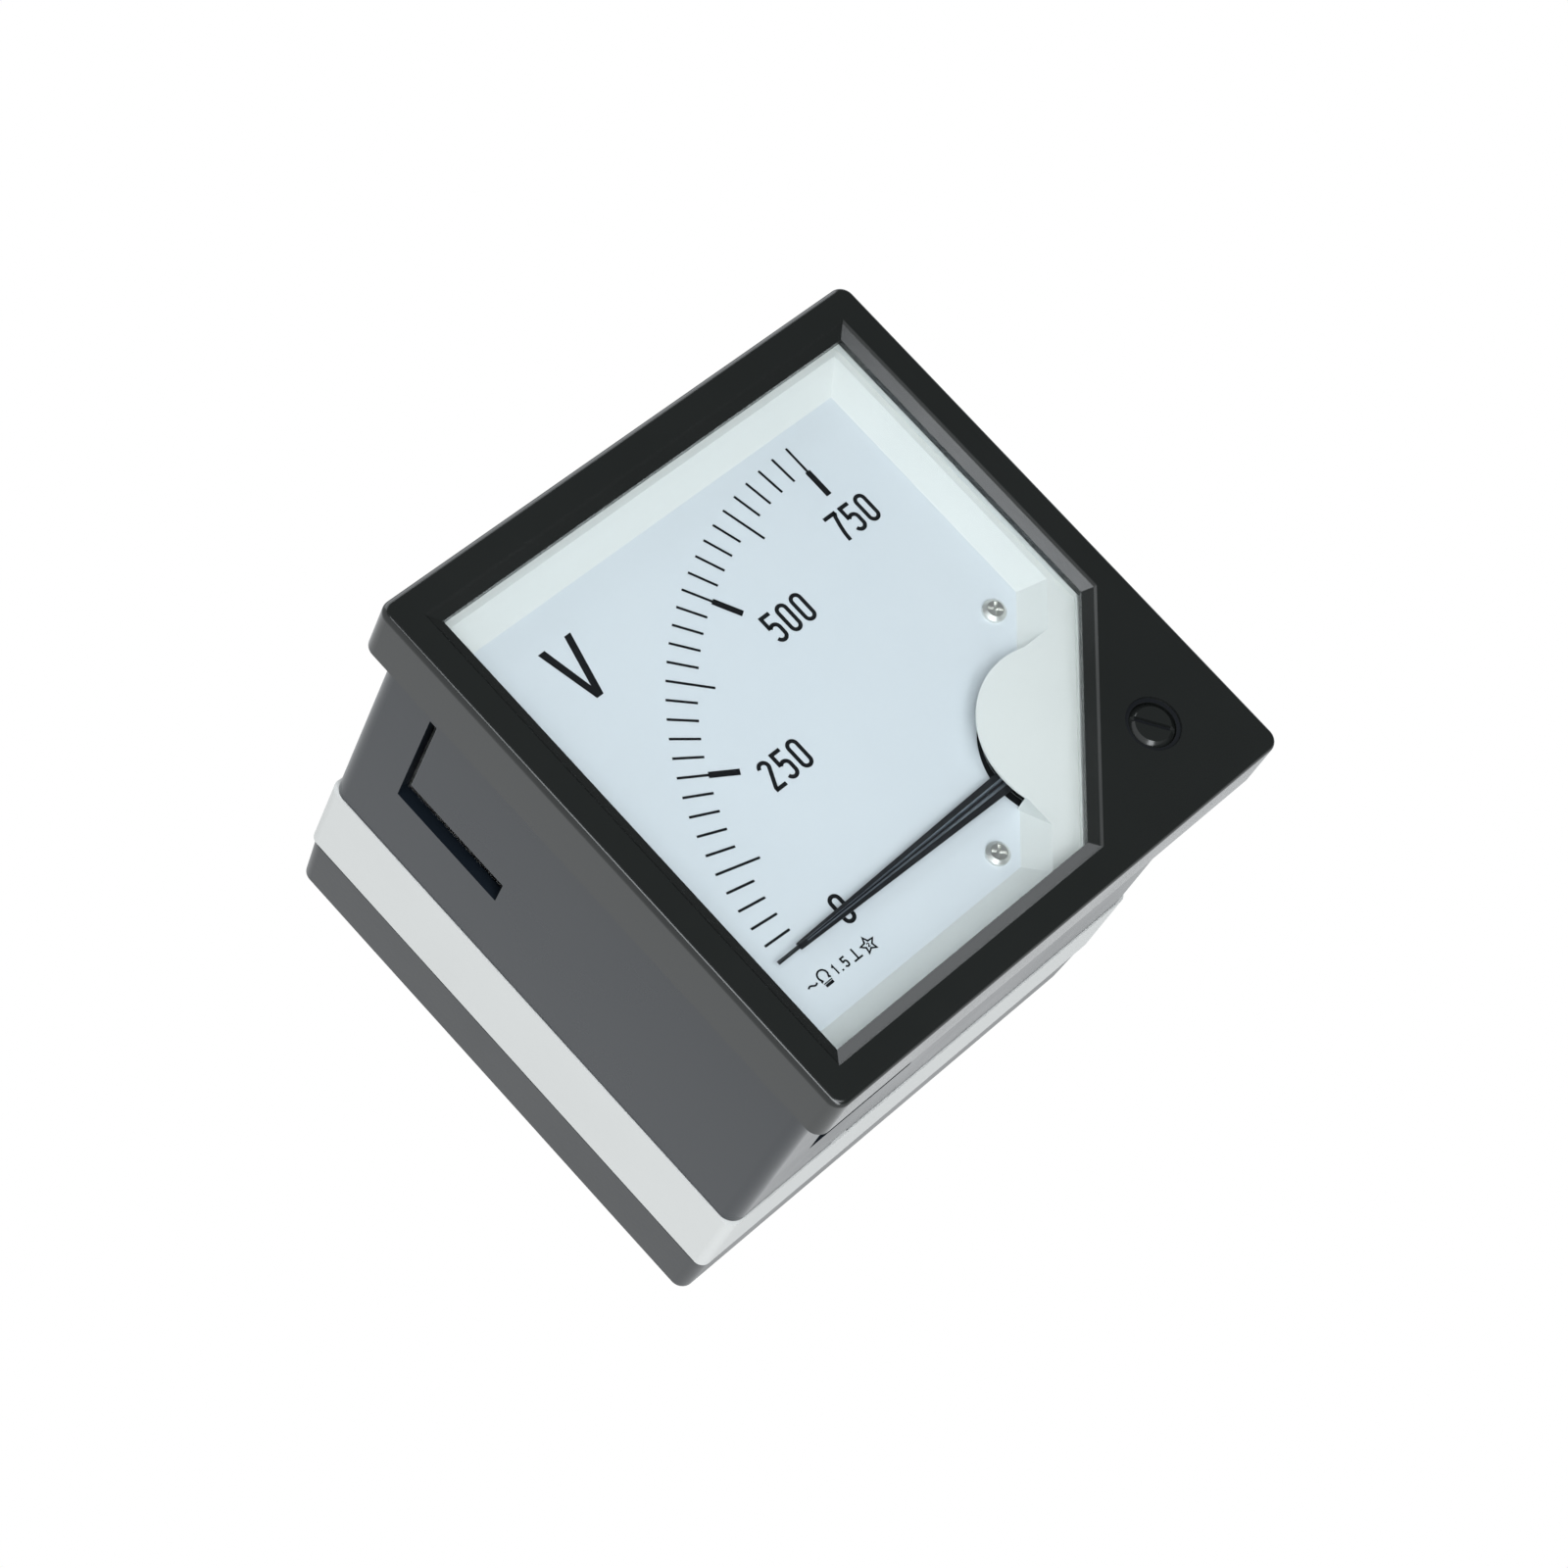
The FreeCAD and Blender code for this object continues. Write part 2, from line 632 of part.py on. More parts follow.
def at_depth(depth):
    """A test for the edges that lie in one plane parallel to the face."""
    return lambda one, two: near(one.y, depth.number) and near(two.y, depth.number)


def turned(corners):
    """A body of revolution about Y from corners given as radius and depth."""
    body = new_body()
    profile = sketch(body, "XY_Plane", 0.0, [corners])
    feature = body.newObject("PartDesign::Revolution", "Revolution")
    feature.Profile = profile
    feature.ReferenceAxis = (profile, ["V_Axis"])
    feature.Angle = 360.0
    return body


def bar(kind, radius, length, settings):
    """A cylinder or a prism with its own settings, still unplaced."""
    solid = DOC.addObject("Part::" + kind, "Bar")
    for prop, value in settings.items():
        setattr(solid, prop, value)
    bind(solid, "Radius" if kind == "Cylinder" else "Circumradius", radius)
    bind(solid, "Height", length)
    return solid


def rod(x, z, front, back, radius, kind="Cylinder", **settings):
    """A round or polygonal bar along the depth, between two depths."""
    solid = bar(kind, radius, back - front, settings)
    solid.Placement = Placement(Vector(), Rotation(Vector(1, 0, 0), -90))
    bind(solid, "Placement.Base.x", x)
    bind(solid, "Placement.Base.y", front)
    bind(solid, "Placement.Base.z", z)
    return solid


def side_rod(left, right, depth, z, radius, kind="Cylinder", **settings):
    """A round or polygonal bar from left to right."""
    solid = bar(kind, radius, right - left, settings)
    solid.Placement = Placement(Vector(), Rotation(Vector(0, 1, 0), 90))
    bind(solid, "Placement.Base.x", left)
    bind(solid, "Placement.Base.y", depth)
    bind(solid, "Placement.Base.z", z)
    return solid


def slot_tool(x, z, front, back, wide, reach, angle):
    """A bar across a screw head, for cutting its drive slot."""
    tool = new_body()
    loop = box_loop(-reach, reach, -wide / 2, wide / 2)
    pad(tool, face_sketch(tool, front, [loop]), back - front)
    return place(tool, x, z, angle)


def fused(parts):
    """Join pieces that touch into one solid."""
    joint = DOC.addObject("Part::MultiFuse", "Fusion")
    joint.Shapes = parts
    return joint


def cut(base, tool):
    """Take one piece out of another."""
    result = DOC.addObject("Part::Cut", "Cut")
    result.Base = base
    result.Tool = tool
    return result


def group(parts):
    """Separate solids that share a node."""
    result = DOC.addObject("Part::Compound", "Group")
    result.Links = parts
    return result


def screw(x, z, seat, head, high, shank, bite, slots, backwards=True):
    """A pan head screw on its seat; backwards means that the shank goes to the rear."""
    way = 1.0 if backwards else -1.0
    body = turned([
        (0.0, seat - way * high),
        (head * HEAD_TOP, seat - way * high),
        (head, seat - way * high * HEAD_RIM),
        (head, seat),
        (shank, seat),
        (shank, seat + way * bite),
        (0.0, seat + way * bite),
    ])
    result = place(body, x, z)
    top = seat - way * high
    floor = top + way * high * RECESS_DEPTH
    front, back = (top, floor) if backwards else (floor, top)
    for angle in slots:
        tool = slot_tool(x, z, front, back, size.recess_wide, head * RECESS_REACH, angle)
        result = cut(result, tool)
    return result


# Housing


def window_loop(inset):
    """The window's outline at the face, moved inwards."""
    half = WINDOW_HALF - inset
    return cut_square(half, half, WINDOW_CUT - inset * ROOT_TWO)


def bezel_frame():
    """Square frame with a bevelled window, a cut corner and the adjuster's bore."""
    body = new_body()
    pad(body, face_sketch(body, FACE, [square(FACE_HALF)]), size.bezel_depth)
    round_edges(body, size.bezel_corner, corner_at(FACE_HALF))
    round_edges(body, size.bezel_edge, at_depth(FACE))
    steps = [
        (FACE, window_loop(-size.window_edge)),
        (FACE + size.window_edge, window_loop(0.0)),
        (FACE + size.window_bevel_deep, window_loop(size.window_bevel)),
    ]
    for (front, outer), (back, inner) in zip(steps, steps[1:]):
        loft(body, "Subtractive", face_sketch(body, front, [outer]), face_sketch(body, back, [inner]))
    pocket(body, face_sketch(body, FACE, [window_loop(size.window_bevel)]), size.lip_thick)
    pocket(body, face_sketch(body, LIP_BACK, [square(BEZEL_INNER)]), -LIP_BACK)
    round_edges(body, size.bezel_inner_corner, corner_at(BEZEL_INNER))
    bore = Disc(ADJUSTER_X, ADJUSTER_Z, size.adjuster_radius + size.running_gap)
    pocket(body, face_sketch(body, FACE, [bore]), size.lip_thick)
    ring = Disc(ADJUSTER_X, ADJUSTER_Z, size.adjuster_ring)
    pocket(body, face_sketch(body, FACE, [ring]), size.adjuster_ring_deep)
    reach = CASE_HALF + size.latch_high + size.slip_gap
    half = size.latch_long / 2 + size.slip_gap
    start = -size.latch_place - size.slip_gap
    pockets = face_sketch(body, start, latch_loops(BEZEL_INNER - size.latch_root, reach, half))
    pocket(body, pockets, size.latch_wide + size.slip_gap * 2)
    return node("bezel_frame", body)


def latch_loops(inner, outer, half):
    """Four rectangles across the middles of the sides."""
    return [
        box_loop(-outer, -inner, -half, half),
        box_loop(inner, outer, -half, half),
        box_loop(-half, half, -outer, -inner),
        box_loop(-half, half, inner, outer),
    ]


def window_pane():
    """Flat clear pane behind the lip, with the window's cut corner."""
    body = new_body()
    outline = window_loop(size.window_bevel - size.pane_lap)
    pad(body, face_sketch(body, LIP_BACK, [outline]), size.pane_thick)
    return node("window_pane", body)


def case():
    """Square sleeve, open at both ends, with four clamp slots and four snap latches."""
    body = new_body()
    length = SEAM - FLANGE_BACK
    pad(body, face_sketch(body, FLANGE_BACK, [square(CASE_HALF)]), length)
    round_edges(body, size.case_corner, corner_at(CASE_HALF))
    pocket(body, face_sketch(body, FLANGE_BACK, [square(CASE_INNER)]), length)
    round_edges(body, size.case_corner - size.case_wall, corner_at(CASE_INNER))
    latches = latch_loops(CASE_HALF - size.latch_root, CASE_HALF + size.latch_high, size.latch_long / 2)
    pad(body, face_sketch(body, -size.latch_place, latches), size.latch_wide)
    notch = CASE_HALF - size.pry_wall
    outside = CASE_HALF + size.tool_over
    half = size.pry_wide / 2
    notches = [
        box_loop(-size.pry_place - half, -size.pry_place + half, -outside, -notch),
        box_loop(size.pry_place - half, size.pry_place + half, notch, outside),
    ]
    pocket(body, face_sketch(body, SEAM - size.pry_deep, notches), size.pry_deep)
    slot = clamp_slot(body)
    slots = body.newObject("PartDesign::PolarPattern", "ClampSlots")
    slots.Originals = [slot]
    slots.Axis = (origin_plane(body, "Y_Axis"), [""])
    slots.Angle = 360.0
    slots.Occurrences = 4
    body.Tip = slots
    return node("case", body)


def clamp_slot(body):
    """The L-shaped slot in the left wall: a narrow leg backwards, a wide leg downwards."""
    turn_back = size.slot_turn + size.slot_wide
    outer = CASE_HALF - size.slot_inset
    inner = outer - size.slot_narrow
    end = outer - size.slot_reach
    corners = [
        (size.slot_front, inner),
        (size.slot_turn, inner),
        (size.slot_turn, end),
        (turn_back, end),
        (turn_back, outer),
        (size.slot_front, outer),
    ]
    flat = sketch(body, "YZ_Plane", -CASE_HALF, [corners])
    return pocket(body, flat, size.case_wall + size.slip_gap, reverse=True)


def base_ring():
    """Pale ring behind the case, with a web, a tongue and bosses for the screws."""
    body = new_body()
    tongue_half = CASE_INNER - size.snug_gap
    pad(body, face_sketch(body, SEAM, [square(BASE_HALF)]), size.base_depth)
    round_edges(body, size.base_corner, corner_at(BASE_HALF))
    pad(body, face_sketch(body, SEAM - size.tongue_long, [square(tongue_half)]), size.tongue_long)
    round_edges(body, size.case_corner - size.case_wall, corner_at(tongue_half))
    round_edges(body, size.seam_chamfer, at_depth(REAR_SEAM), "Chamfer")
    hollow = face_sketch(body, SEAM - size.tongue_long, [square(tongue_half - size.tongue_wall)])
    pocket(body, hollow, size.tongue_long + size.web_setback)
    pocket(body, face_sketch(body, WEB_BACK, [square(BASE_INNER)]), REAR_SEAM - WEB_BACK)
    bosses = [Disc(x, z, size.boss_radius) for x, z in BOSSES]
    pad(body, face_sketch(body, WEB_BACK, bosses), REAR_SEAM - WEB_BACK)
    standoffs = [Disc(x, z, size.standoff_radius) for x, z in STANDOFFS]
    pad(body, face_sketch(body, WEB_BACK, standoffs), size.standoff_long)
    holes = [Disc(x, z, size.case_screw + size.snug_gap) for x, z in PILLARS]
    holes.append(Disc(0.0, 0.0, size.lead_hole))
    pocket(body, face_sketch(body, WEB, holes), size.web_thick)
    deep = size.cover_screw_bore
    bores = [Disc(x, z, size.case_screw) for x, z in BOSSES]
    pocket(body, face_sketch(body, REAR_SEAM - deep, bores), deep)
    bores = [Disc(x, z, size.bridge_screw) for x, z in STANDOFFS]
    pocket(body, face_sketch(body, WEB_BACK, bores), size.standoff_long)
    return node("base_ring", body)


def rear_cover():
    """Dark cover with tapered sides, a spigot, screw bosses and holes for the studs."""
    body = new_body()
    block = pad(body, face_sketch(body, REAR_SEAM, [square(COVER_HALF)]), size.cover_depth)
    bind(block, "TaperAngle", -arctangent(size.cover_taper / size.cover_depth))
    round_edges(body, size.cover_corner, runs_back)
    round_edges(body, size.cover_edge, at_depth(COVER_BACK), "Chamfer")
    round_edges(body, size.seam_chamfer, at_depth(REAR_SEAM), "Chamfer")
    spigot_half = BASE_INNER - size.snug_gap
    spigot = face_sketch(body, REAR_SEAM - size.spigot_long, [square(spigot_half)])
    pad(body, spigot, size.spigot_long)
    inner = spigot_half - size.spigot_wall
    hollow = face_sketch(body, REAR_SEAM - size.spigot_long, [square(inner)])
    pocket(body, hollow, COVER_FLOOR - REAR_SEAM + size.spigot_long)
    bosses = [Disc(x, z, size.boss_radius) for x, z in BOSSES]
    pad(body, face_sketch(body, REAR_SEAM, bosses), COVER_FLOOR - REAR_SEAM)
    sunk = size.case_screw_high
    heads = [Disc(x, z, size.case_screw_head + size.slip_gap) for x, z in BOSSES]
    pocket(body, face_sketch(body, COVER_BACK - sunk, heads), sunk)
    shanks = [Disc(x, z, size.case_screw + size.slip_gap) for x, z in BOSSES]
    pocket(body, face_sketch(body, REAR_SEAM, shanks), COVER_BACK - sunk - REAR_SEAM)
    studs = [Disc(x, z, size.stud_radius + size.snug_gap) for x, z in STUDS]
    pocket(body, face_sketch(body, COVER_FLOOR, studs), size.cover_floor)
    return node("rear_cover", body)


def housing_screws():
    """Screws that hold the rear cover and the movement carrier."""
    seat = COVER_BACK - size.case_screw_high
    bite = seat - REAR_SEAM + size.cover_screw_bite
    cover = [case_screw(x, z, seat, bite) for x, z in BOSSES]
    node("cover_screws", group(cover))
    bite = size.web_thick + size.case_screw_bite
    carrier = [case_screw(x, z, WEB_BACK, bite) for x, z in PILLARS]
    node("carrier_screws", group(carrier))


def case_screw(x, z, seat, bite):
    """One cross-slotted screw that is driven from the rear."""
    head = size.case_screw_head
    high = size.case_screw_high
    return screw(x, z, seat, head, high, size.case_screw, bite, CROSS, backwards=False)


# Dial and its surround


def tray_half(slope, depth):
    """Half width of the tray at a depth between its mouth and the dial."""
    return MOUTH_HALF - slope * ((depth - PANE_BACK) / size.tray_depth)


def tray_cut(depth):
    """x - z of the tray's diagonal wall at a depth."""
    slope = (SHELF_CUT - FOOT_CUT) / (DIAL - SHELF)
    return FOOT_CUT + slope * (DIAL - depth)


def tray_section(depth, wall):
    """Outline of the sloped tray at a depth, grown by a wall."""
    return cut_square(
        tray_half(size.tray_side_slope, depth) + wall,
        tray_half(size.tray_end_slope, depth) + wall,
        tray_cut(depth) + wall * ROOT_TWO,
    )


def dial_surround():
    """White moulding: flange, sloped tray walls, shelf and the skirted movement cover."""
    body = new_body()
    flange_half = BEZEL_INNER - size.flange_margin
    pad(body, face_sketch(body, PANE_BACK, [square(flange_half)]), size.flange_thick)
    round_edges(body, size.bezel_inner_corner, corner_at(flange_half))
    loft(
        body,
        "Additive",
        face_sketch(body, FLANGE_BACK, [tray_section(FLANGE_BACK, size.tray_wall)]),
        face_sketch(body, DIAL, [tray_section(DIAL, size.tray_wall)]),
    )
    loft(
        body,
        "Subtractive",
        face_sketch(body, PANE_BACK, [tray_section(PANE_BACK, Size(0.0))]),
        face_sketch(body, DIAL, [tray_section(DIAL, Size(0.0))]),
    )
    shelf = face_sketch(body, PANE_BACK, [cut_square(MOUTH_HALF, MOUTH_HALF, SHELF_REAR_CUT)])
    pocket(body, shelf, size.shelf_step)
    add_movement_cover(body)
    hole = Disc(ADJUSTER_X, ADJUSTER_Z, size.adjuster_shaft + size.free_gap)
    pocket(body, face_sketch(body, PANE_BACK, [hole]), size.flange_thick)
    return node("dial_surround", cut(body, pointer_slot_tool()))


def add_movement_cover(body):
    """The rounded nose that the shelf sends out over the movement, with its skirt."""
    flat_top = PIVOT_Z + size.cover_flat
    flat_left = PIVOT_X - size.cover_flat
    bulge = root(size.cover_radius * size.cover_radius - size.cover_flat * size.cover_flat)
    shelf_cut = SHELF_CUT + size.shelf_root
    nose = [
        (PIVOT_X, PIVOT_Z),
        (PIVOT_X + bulge, flat_top),
        (shelf_cut + flat_top, flat_top),
        (flat_left, flat_left - shelf_cut),
        (flat_left, PIVOT_Z - bulge),
    ]
    deep = DIAL - SHELF
    pad(body, face_sketch(body, SHELF, [nose]), deep)
    pad(body, face_sketch(body, SHELF, [Disc(PIVOT_X, PIVOT_Z, size.cover_radius)]), deep)
    inside = Disc(PIVOT_X, PIVOT_Z, size.cover_radius - size.cover_wall)
    pocket(body, face_sketch(body, FLANGE_BACK, [inside]), DIAL - FLANGE_BACK)
    behind = shelf_cut + size.tray_wall * ROOT_TWO
    far = MOUTH_HALF + size.tray_wall
    triangle = [(behind - far, -far), (far, -far), (far, far - behind)]
    pocket(body, face_sketch(body, FLANGE_BACK, [triangle]), DIAL - FLANGE_BACK)


def pointer_slot_tool():
    """Sector of a ring that opens the skirt where the pointer swings."""
    front = SHELF + size.cover_rim
    inner = size.cover_radius - size.cover_wall - size.tool_over
    outer = size.cover_radius + size.tool_over
    sector = rod(PIVOT_X, PIVOT_Z, front, DIAL, outer, Angle=size.pointer_slot_sweep.number)
    turn = -size.pointer_slot_start.number
    sector.Placement.Rotation = Rotation(Vector(0, 1, 0), turn) * Rotation(Vector(1, 0, 0), 90)
    bind(sector, "Angle", size.pointer_slot_sweep)
    bind(sector, "Placement.Base.y", DIAL)
    return cut(sector, rod(PIVOT_X, PIVOT_Z, front, DIAL, inner))


def dial_plate():
    """Thin plate with the scale, bitten out around the movement."""
    body = new_body()
    outline = cut_square(DIAL_HALF, DIAL_HALF, DIAL_CUT)
    pad(body, face_sketch(body, DIAL, [outline]), size.dial_thick)
    pocket(body, face_sketch(body, DIAL, [Disc(PIVOT_X, PIVOT_Z, size.dial_bore)]), size.dial_thick)
    holes = [Disc(x, z, size.dial_screw + size.snug_gap) for x, z in POSTS]
    pocket(body, face_sketch(body, DIAL, holes), size.dial_thick)
    return node("dial_plate", body)


def dial_screws():
    """Two cross-slotted screws through the dial into the posts."""
    bite = size.dial_thick + size.dial_screw_bite
    head = size.dial_screw_head
    high = size.dial_screw_high
    screws = [screw(x, z, DIAL, head, high, size.dial_screw, bite, CROSS) for x, z in POSTS]
    return node("dial_screws", group(screws))


# Zero adjuster


def pivot_direction():
    """Unit vector from the adjuster to the pivot, and their distance."""
    across = PIVOT_X - ADJUSTER_X
    up = PIVOT_Z - ADJUSTER_Z
    distance = root(across * across + up * up)
    return across / distance, up / distance, distance


def zero_adjuster_screw():
    """Slotted disc with a collar, a shaft and an eccentric crank pin."""
    front = FACE + size.adjuster_sunk
    collar = LIP_BACK + size.snug_gap
    body = turned([
        (0.0, front),
        (size.adjuster_radius - size.adjuster_chamfer, front),
        (size.adjuster_radius, front + size.adjuster_chamfer),
        (size.adjuster_radius, collar),
        (size.collar_radius, collar),
        (size.collar_radius, collar + size.collar_thick),
        (size.adjuster_shaft, collar + size.collar_thick),
        (size.adjuster_shaft, FLANGE_BACK),
        (0.0, FLANGE_BACK),
    ])
    disc = place(body, ADJUSTER_X, ADJUSTER_Z)
    across, up, _ = pivot_direction()
    pin_x = ADJUSTER_X + size.crank_offset * across
    pin_z = ADJUSTER_Z + size.crank_offset * up
    pin_start = FLANGE_BACK - size.crank_root
    pin = rod(pin_x, pin_z, pin_start, LEVER_BACK + size.free_gap, size.crank_pin)
    slot = slot_tool(
        ADJUSTER_X,
        ADJUSTER_Z,
        front,
        front + size.adjuster_slot_deep,
        size.adjuster_slot_wide,
        size.adjuster_radius + size.tool_over,
        ADJUSTER_SLOT_ANGLE,
    )
    return node("zero_adjuster_screw", cut(fused([disc, pin]), slot))


def zero_lever():
    """Lever around the front jewel screw, forked at the crank pin, with the spring's lug."""
    body = new_body()
    across, up, distance = pivot_direction()
    pin_at = distance - size.crank_offset
    ring = size.jewel_radius + size.running_gap + size.lever_rim
    end = pin_at + size.lever_overhang
    half = size.lever_wide / 2
    pad(body, face_sketch(body, LEVER, [box_loop(0.0, end, -half, half)]), size.lever_thick)
    pad(body, face_sketch(body, LEVER, [Disc(0.0, 0.0, ring)]), size.lever_thick)
    lug = size.spring_outer + size.spring_stud
    lug_loop = box_loop(lug, lug + size.spring_stud, -size.spring_stud, size.spring_stud)
    pad(body, face_sketch(body, LEVER, [lug_loop]), FRONT_SPRING + size.spring_wide - LEVER)
    bore = Disc(0.0, 0.0, size.jewel_radius + size.running_gap)
    pocket(body, face_sketch(body, LEVER, [bore]), size.lever_thick)
    fork = size.crank_pin + size.running_gap
    fork_loop = box_loop(end - size.fork_deep, end + size.tool_over, -fork, fork)
    pocket(body, face_sketch(body, LEVER, [fork_loop]), size.lever_thick)
    angle = math.degrees(math.atan2(-up.number, -across.number))
    return node("zero_lever", place(body, PIVOT_X, PIVOT_Z, angle))


# Movement


def front_bridge():
    """Bar with two legs on the carrier; it holds the front jewel screw."""
    body = bridge(FRONT_BRIDGE, FRONT_BRIDGE, FRONT_BRIDGE_BACK, CARRIER, size.bridge_reach)
    return node("front_bridge", place(body, PIVOT_X, PIVOT_Z, BRIDGE_ANGLE))


def bridge(bar, front, bar_back, back, reach):
    """A bar across the pivot whose two legs run from front to back."""
    body = new_body()
    half = size.bridge_wide / 2
    pad(body, face_sketch(body, bar, [box_loop(-reach, reach, -half, half)]), bar_back - bar)
    legs = [Disc(side * reach, 0.0, size.bridge_leg) for side in (-1.0, 1.0)]
    pad(body, face_sketch(body, front, legs), back - front)
    bores = [Disc(side * reach, 0.0, size.bridge_screw + size.snug_gap) for side in (-1.0, 1.0)]
    pocket(body, face_sketch(body, front, bores), back - front)
    pocket(body, face_sketch(body, bar, [Disc(0.0, 0.0, size.jewel_radius)]), bar_back - bar)
    return body


def jewel_screw(label, slotted_end, cup_end):
    """A headless screw with a driver slot at one end and a conical cup at the other."""
    way = 1.0 if cup_end.number > slotted_end.number else -1.0
    cup = size.pivot_radius + size.running_gap
    body = turned([
        (0.0, slotted_end),
        (size.jewel_radius, slotted_end),
        (size.jewel_radius, cup_end),
        (cup, cup_end),
        (cup * CUP_FLOOR, cup_end - way * size.jewel_cup),
        (0.0, cup_end - way * size.jewel_cup),
    ])
    deep = slotted_end + way * size.recess_wide
    front, back = (slotted_end, deep) if way > 0 else (deep, slotted_end)
    reach = size.jewel_radius + size.tool_over
    slot = slot_tool(PIVOT_X, PIVOT_Z, front, back, size.recess_wide, reach, REAR_BRIDGE_ANGLE)
    return node(label, cut(place(body, PIVOT_X, PIVOT_Z), slot))


def front_spindle():
    """Steel pivot with a spring collet, the pointer's seat and a foot on the coil."""
    tip = FRONT_JEWEL_END - size.pivot_entry
    collet = FRONT_SPRING - size.collet_margin
    body = turned([
        (0.0, tip),
        (size.pivot_radius * PIVOT_POINT, tip),
        (size.pivot_radius, tip + size.pivot_taper),
        (size.pivot_radius, collet),
        (size.collet_radius, collet),
        (size.collet_radius, HUB + size.pointer_sheet),
        (size.spindle_hub, HUB + size.pointer_sheet),
        (size.spindle_hub, SPINDLE_FOOT),
        (size.spindle_foot, SPINDLE_FOOT),
        (size.spindle_foot, COIL),
        (0.0, COIL),
    ])
    return node("front_spindle", place(body, PIVOT_X, PIVOT_Z))


def rear_spindle():
    """Steel pivot with a foot on the coil and a spring collet."""
    foot = COIL_BACK + size.spindle_foot_thick
    tip = REAR_JEWEL_END + size.pivot_entry
    collet = REAR_SPRING + size.spring_wide + size.collet_margin
    body = turned([
        (0.0, COIL_BACK),
        (size.spindle_foot, COIL_BACK),
        (size.spindle_foot, foot),
        (size.collet_radius, foot),
        (size.collet_radius, collet),
        (size.pivot_radius, collet),
        (size.pivot_radius, tip - size.pivot_taper),
        (size.pivot_radius * PIVOT_POINT, tip),
        (0.0, tip),
    ])
    return node("rear_spindle", place(body, PIVOT_X, PIVOT_Z))


def hairspring(label, front, angle, hand):
    """A flat spiral strip around a spindle, in short straight runs."""
    inner = size.collet_radius.number + size.running_gap.number
    growth = size.spring_outer.number - size.spring_thick.number - inner
    turns = size.spring_turns.number
    steps = int(turns * SPRING_STEPS)

    def edge(grow):
        points = []
        for step in range(steps + 1):
            share = step / steps
            radius = inner + grow + growth * share
            turn = hand * 2.0 * math.pi * turns * share
            points.append(Vector(radius * math.cos(turn), front.number, radius * math.sin(turn)))
        return points

    outline = edge(0.0) + edge(size.spring_thick.number)[::-1]
    face = Part.Face(Part.makePolygon(outline + outline[:1]))
    spring = DOC.addObject("Part::Feature", "Hairspring")
    spring.Shape = face.extrude(Vector(0, size.spring_wide.number, 0))
    spring.Placement = Placement(
        Vector(PIVOT_X.number, 0, PIVOT_Z.number),
        Rotation(Vector(0, 1, 0), -angle),
    )
    return node(label, spring)


def box_ring(body, inner, outer, front, inner_front, inner_back, back, wide):
    """A rectangular loop around the pivot axis, for the coil and its former."""
    half = wide / 2
    pad(body, face_sketch(body, front, [box_loop(-outer, outer, -half, half)]), back - front)
    through = half + size.tool_over
    window = box_loop(-inner, inner, -through, through)
    pocket(body, face_sketch(body, inner_front, [window]), inner_back - inner_front)
    return body


def coil_former():
    """Aluminium loop that carries the wire."""
    body = new_body()
    thick = size.former_thick
    box_ring(
        body,
        FORMER_INNER,
        FORMER_OUTER,
        FORMER,
        FORMER + thick,
        FORMER_BACK - thick,
        FORMER_BACK,
        size.coil_wide,
    )
    return node("coil_former", place(body, PIVOT_X, PIVOT_Z, POINTER_ANGLE))


def coil_winding():
    """Copper wire wound around the former."""
    body = new_body()
    box_ring(body, FORMER_OUTER, COIL_OUTER, COIL, FORMER, FORMER_BACK, COIL_BACK, size.winding_wide)
    round_edges(body, size.former_thick, corner_edges_of_coil)
    return node("coil_winding", place(body, PIVOT_X, PIVOT_Z, POINTER_ANGLE))


def corner_edges_of_coil(one, two):
    """The four outer edges of the winding that run across its width."""
    outside = near(abs(one.x), COIL_OUTER.number) and near(abs(two.x), COIL_OUTER.number)
    at_end = any(near(one.y, end.number) and near(two.y, end.number) for end in (COIL, COIL_BACK))
    return outside and at_end


def core_magnet():
    """Round magnet inside the coil, with a square hole for its bar."""
    magnet = rod(PIVOT_X, PIVOT_Z, CORE, CORE_BACK, size.core_radius)
    hole = bar_body(size.core_radius + size.tool_over, CORE_BAR_BACK)
    return node("core_magnet", cut(magnet, hole))


def bar_body(reach, back):
    """A square bar across the pivot, in line with the front bridge."""
    body = new_body()
    half = size.core_bar_thick / 2
    pad(body, face_sketch(body, CORE_BAR, [box_loop(-reach, reach, -half, half)]), back - CORE_BAR)
    return place(body, PIVOT_X, PIVOT_Z, BRIDGE_ANGLE)


def core_bar():
    """Bar that holds the core magnet in the yoke's notches."""
    return node("core_bar", bar_body(YOKE_OUTER - size.layer_gap, CORE_BAR_BACK))


def yoke_ring():
    """Soft iron ring around the coil, notched from the rear for the bar."""
    body = turned([
        (YOKE_INNER, CARRIER_BACK),
        (YOKE_OUTER, CARRIER_BACK),
        (YOKE_OUTER, YOKE_BACK),
        (YOKE_INNER, YOKE_BACK),
    ])
    result = cut(place(body, PIVOT_X, PIVOT_Z), bar_body(YOKE_OUTER + size.tool_over, YOKE_BACK))
    bore = size.bridge_screw + size.snug_gap
    for x, z in bridge_spots(REAR_BRIDGE_ANGLE, YOKE_MIDDLE):
        result = cut(result, rod(x, z, CARRIER_BACK, YOKE_BACK, bore))
    return node("yoke_ring", result)


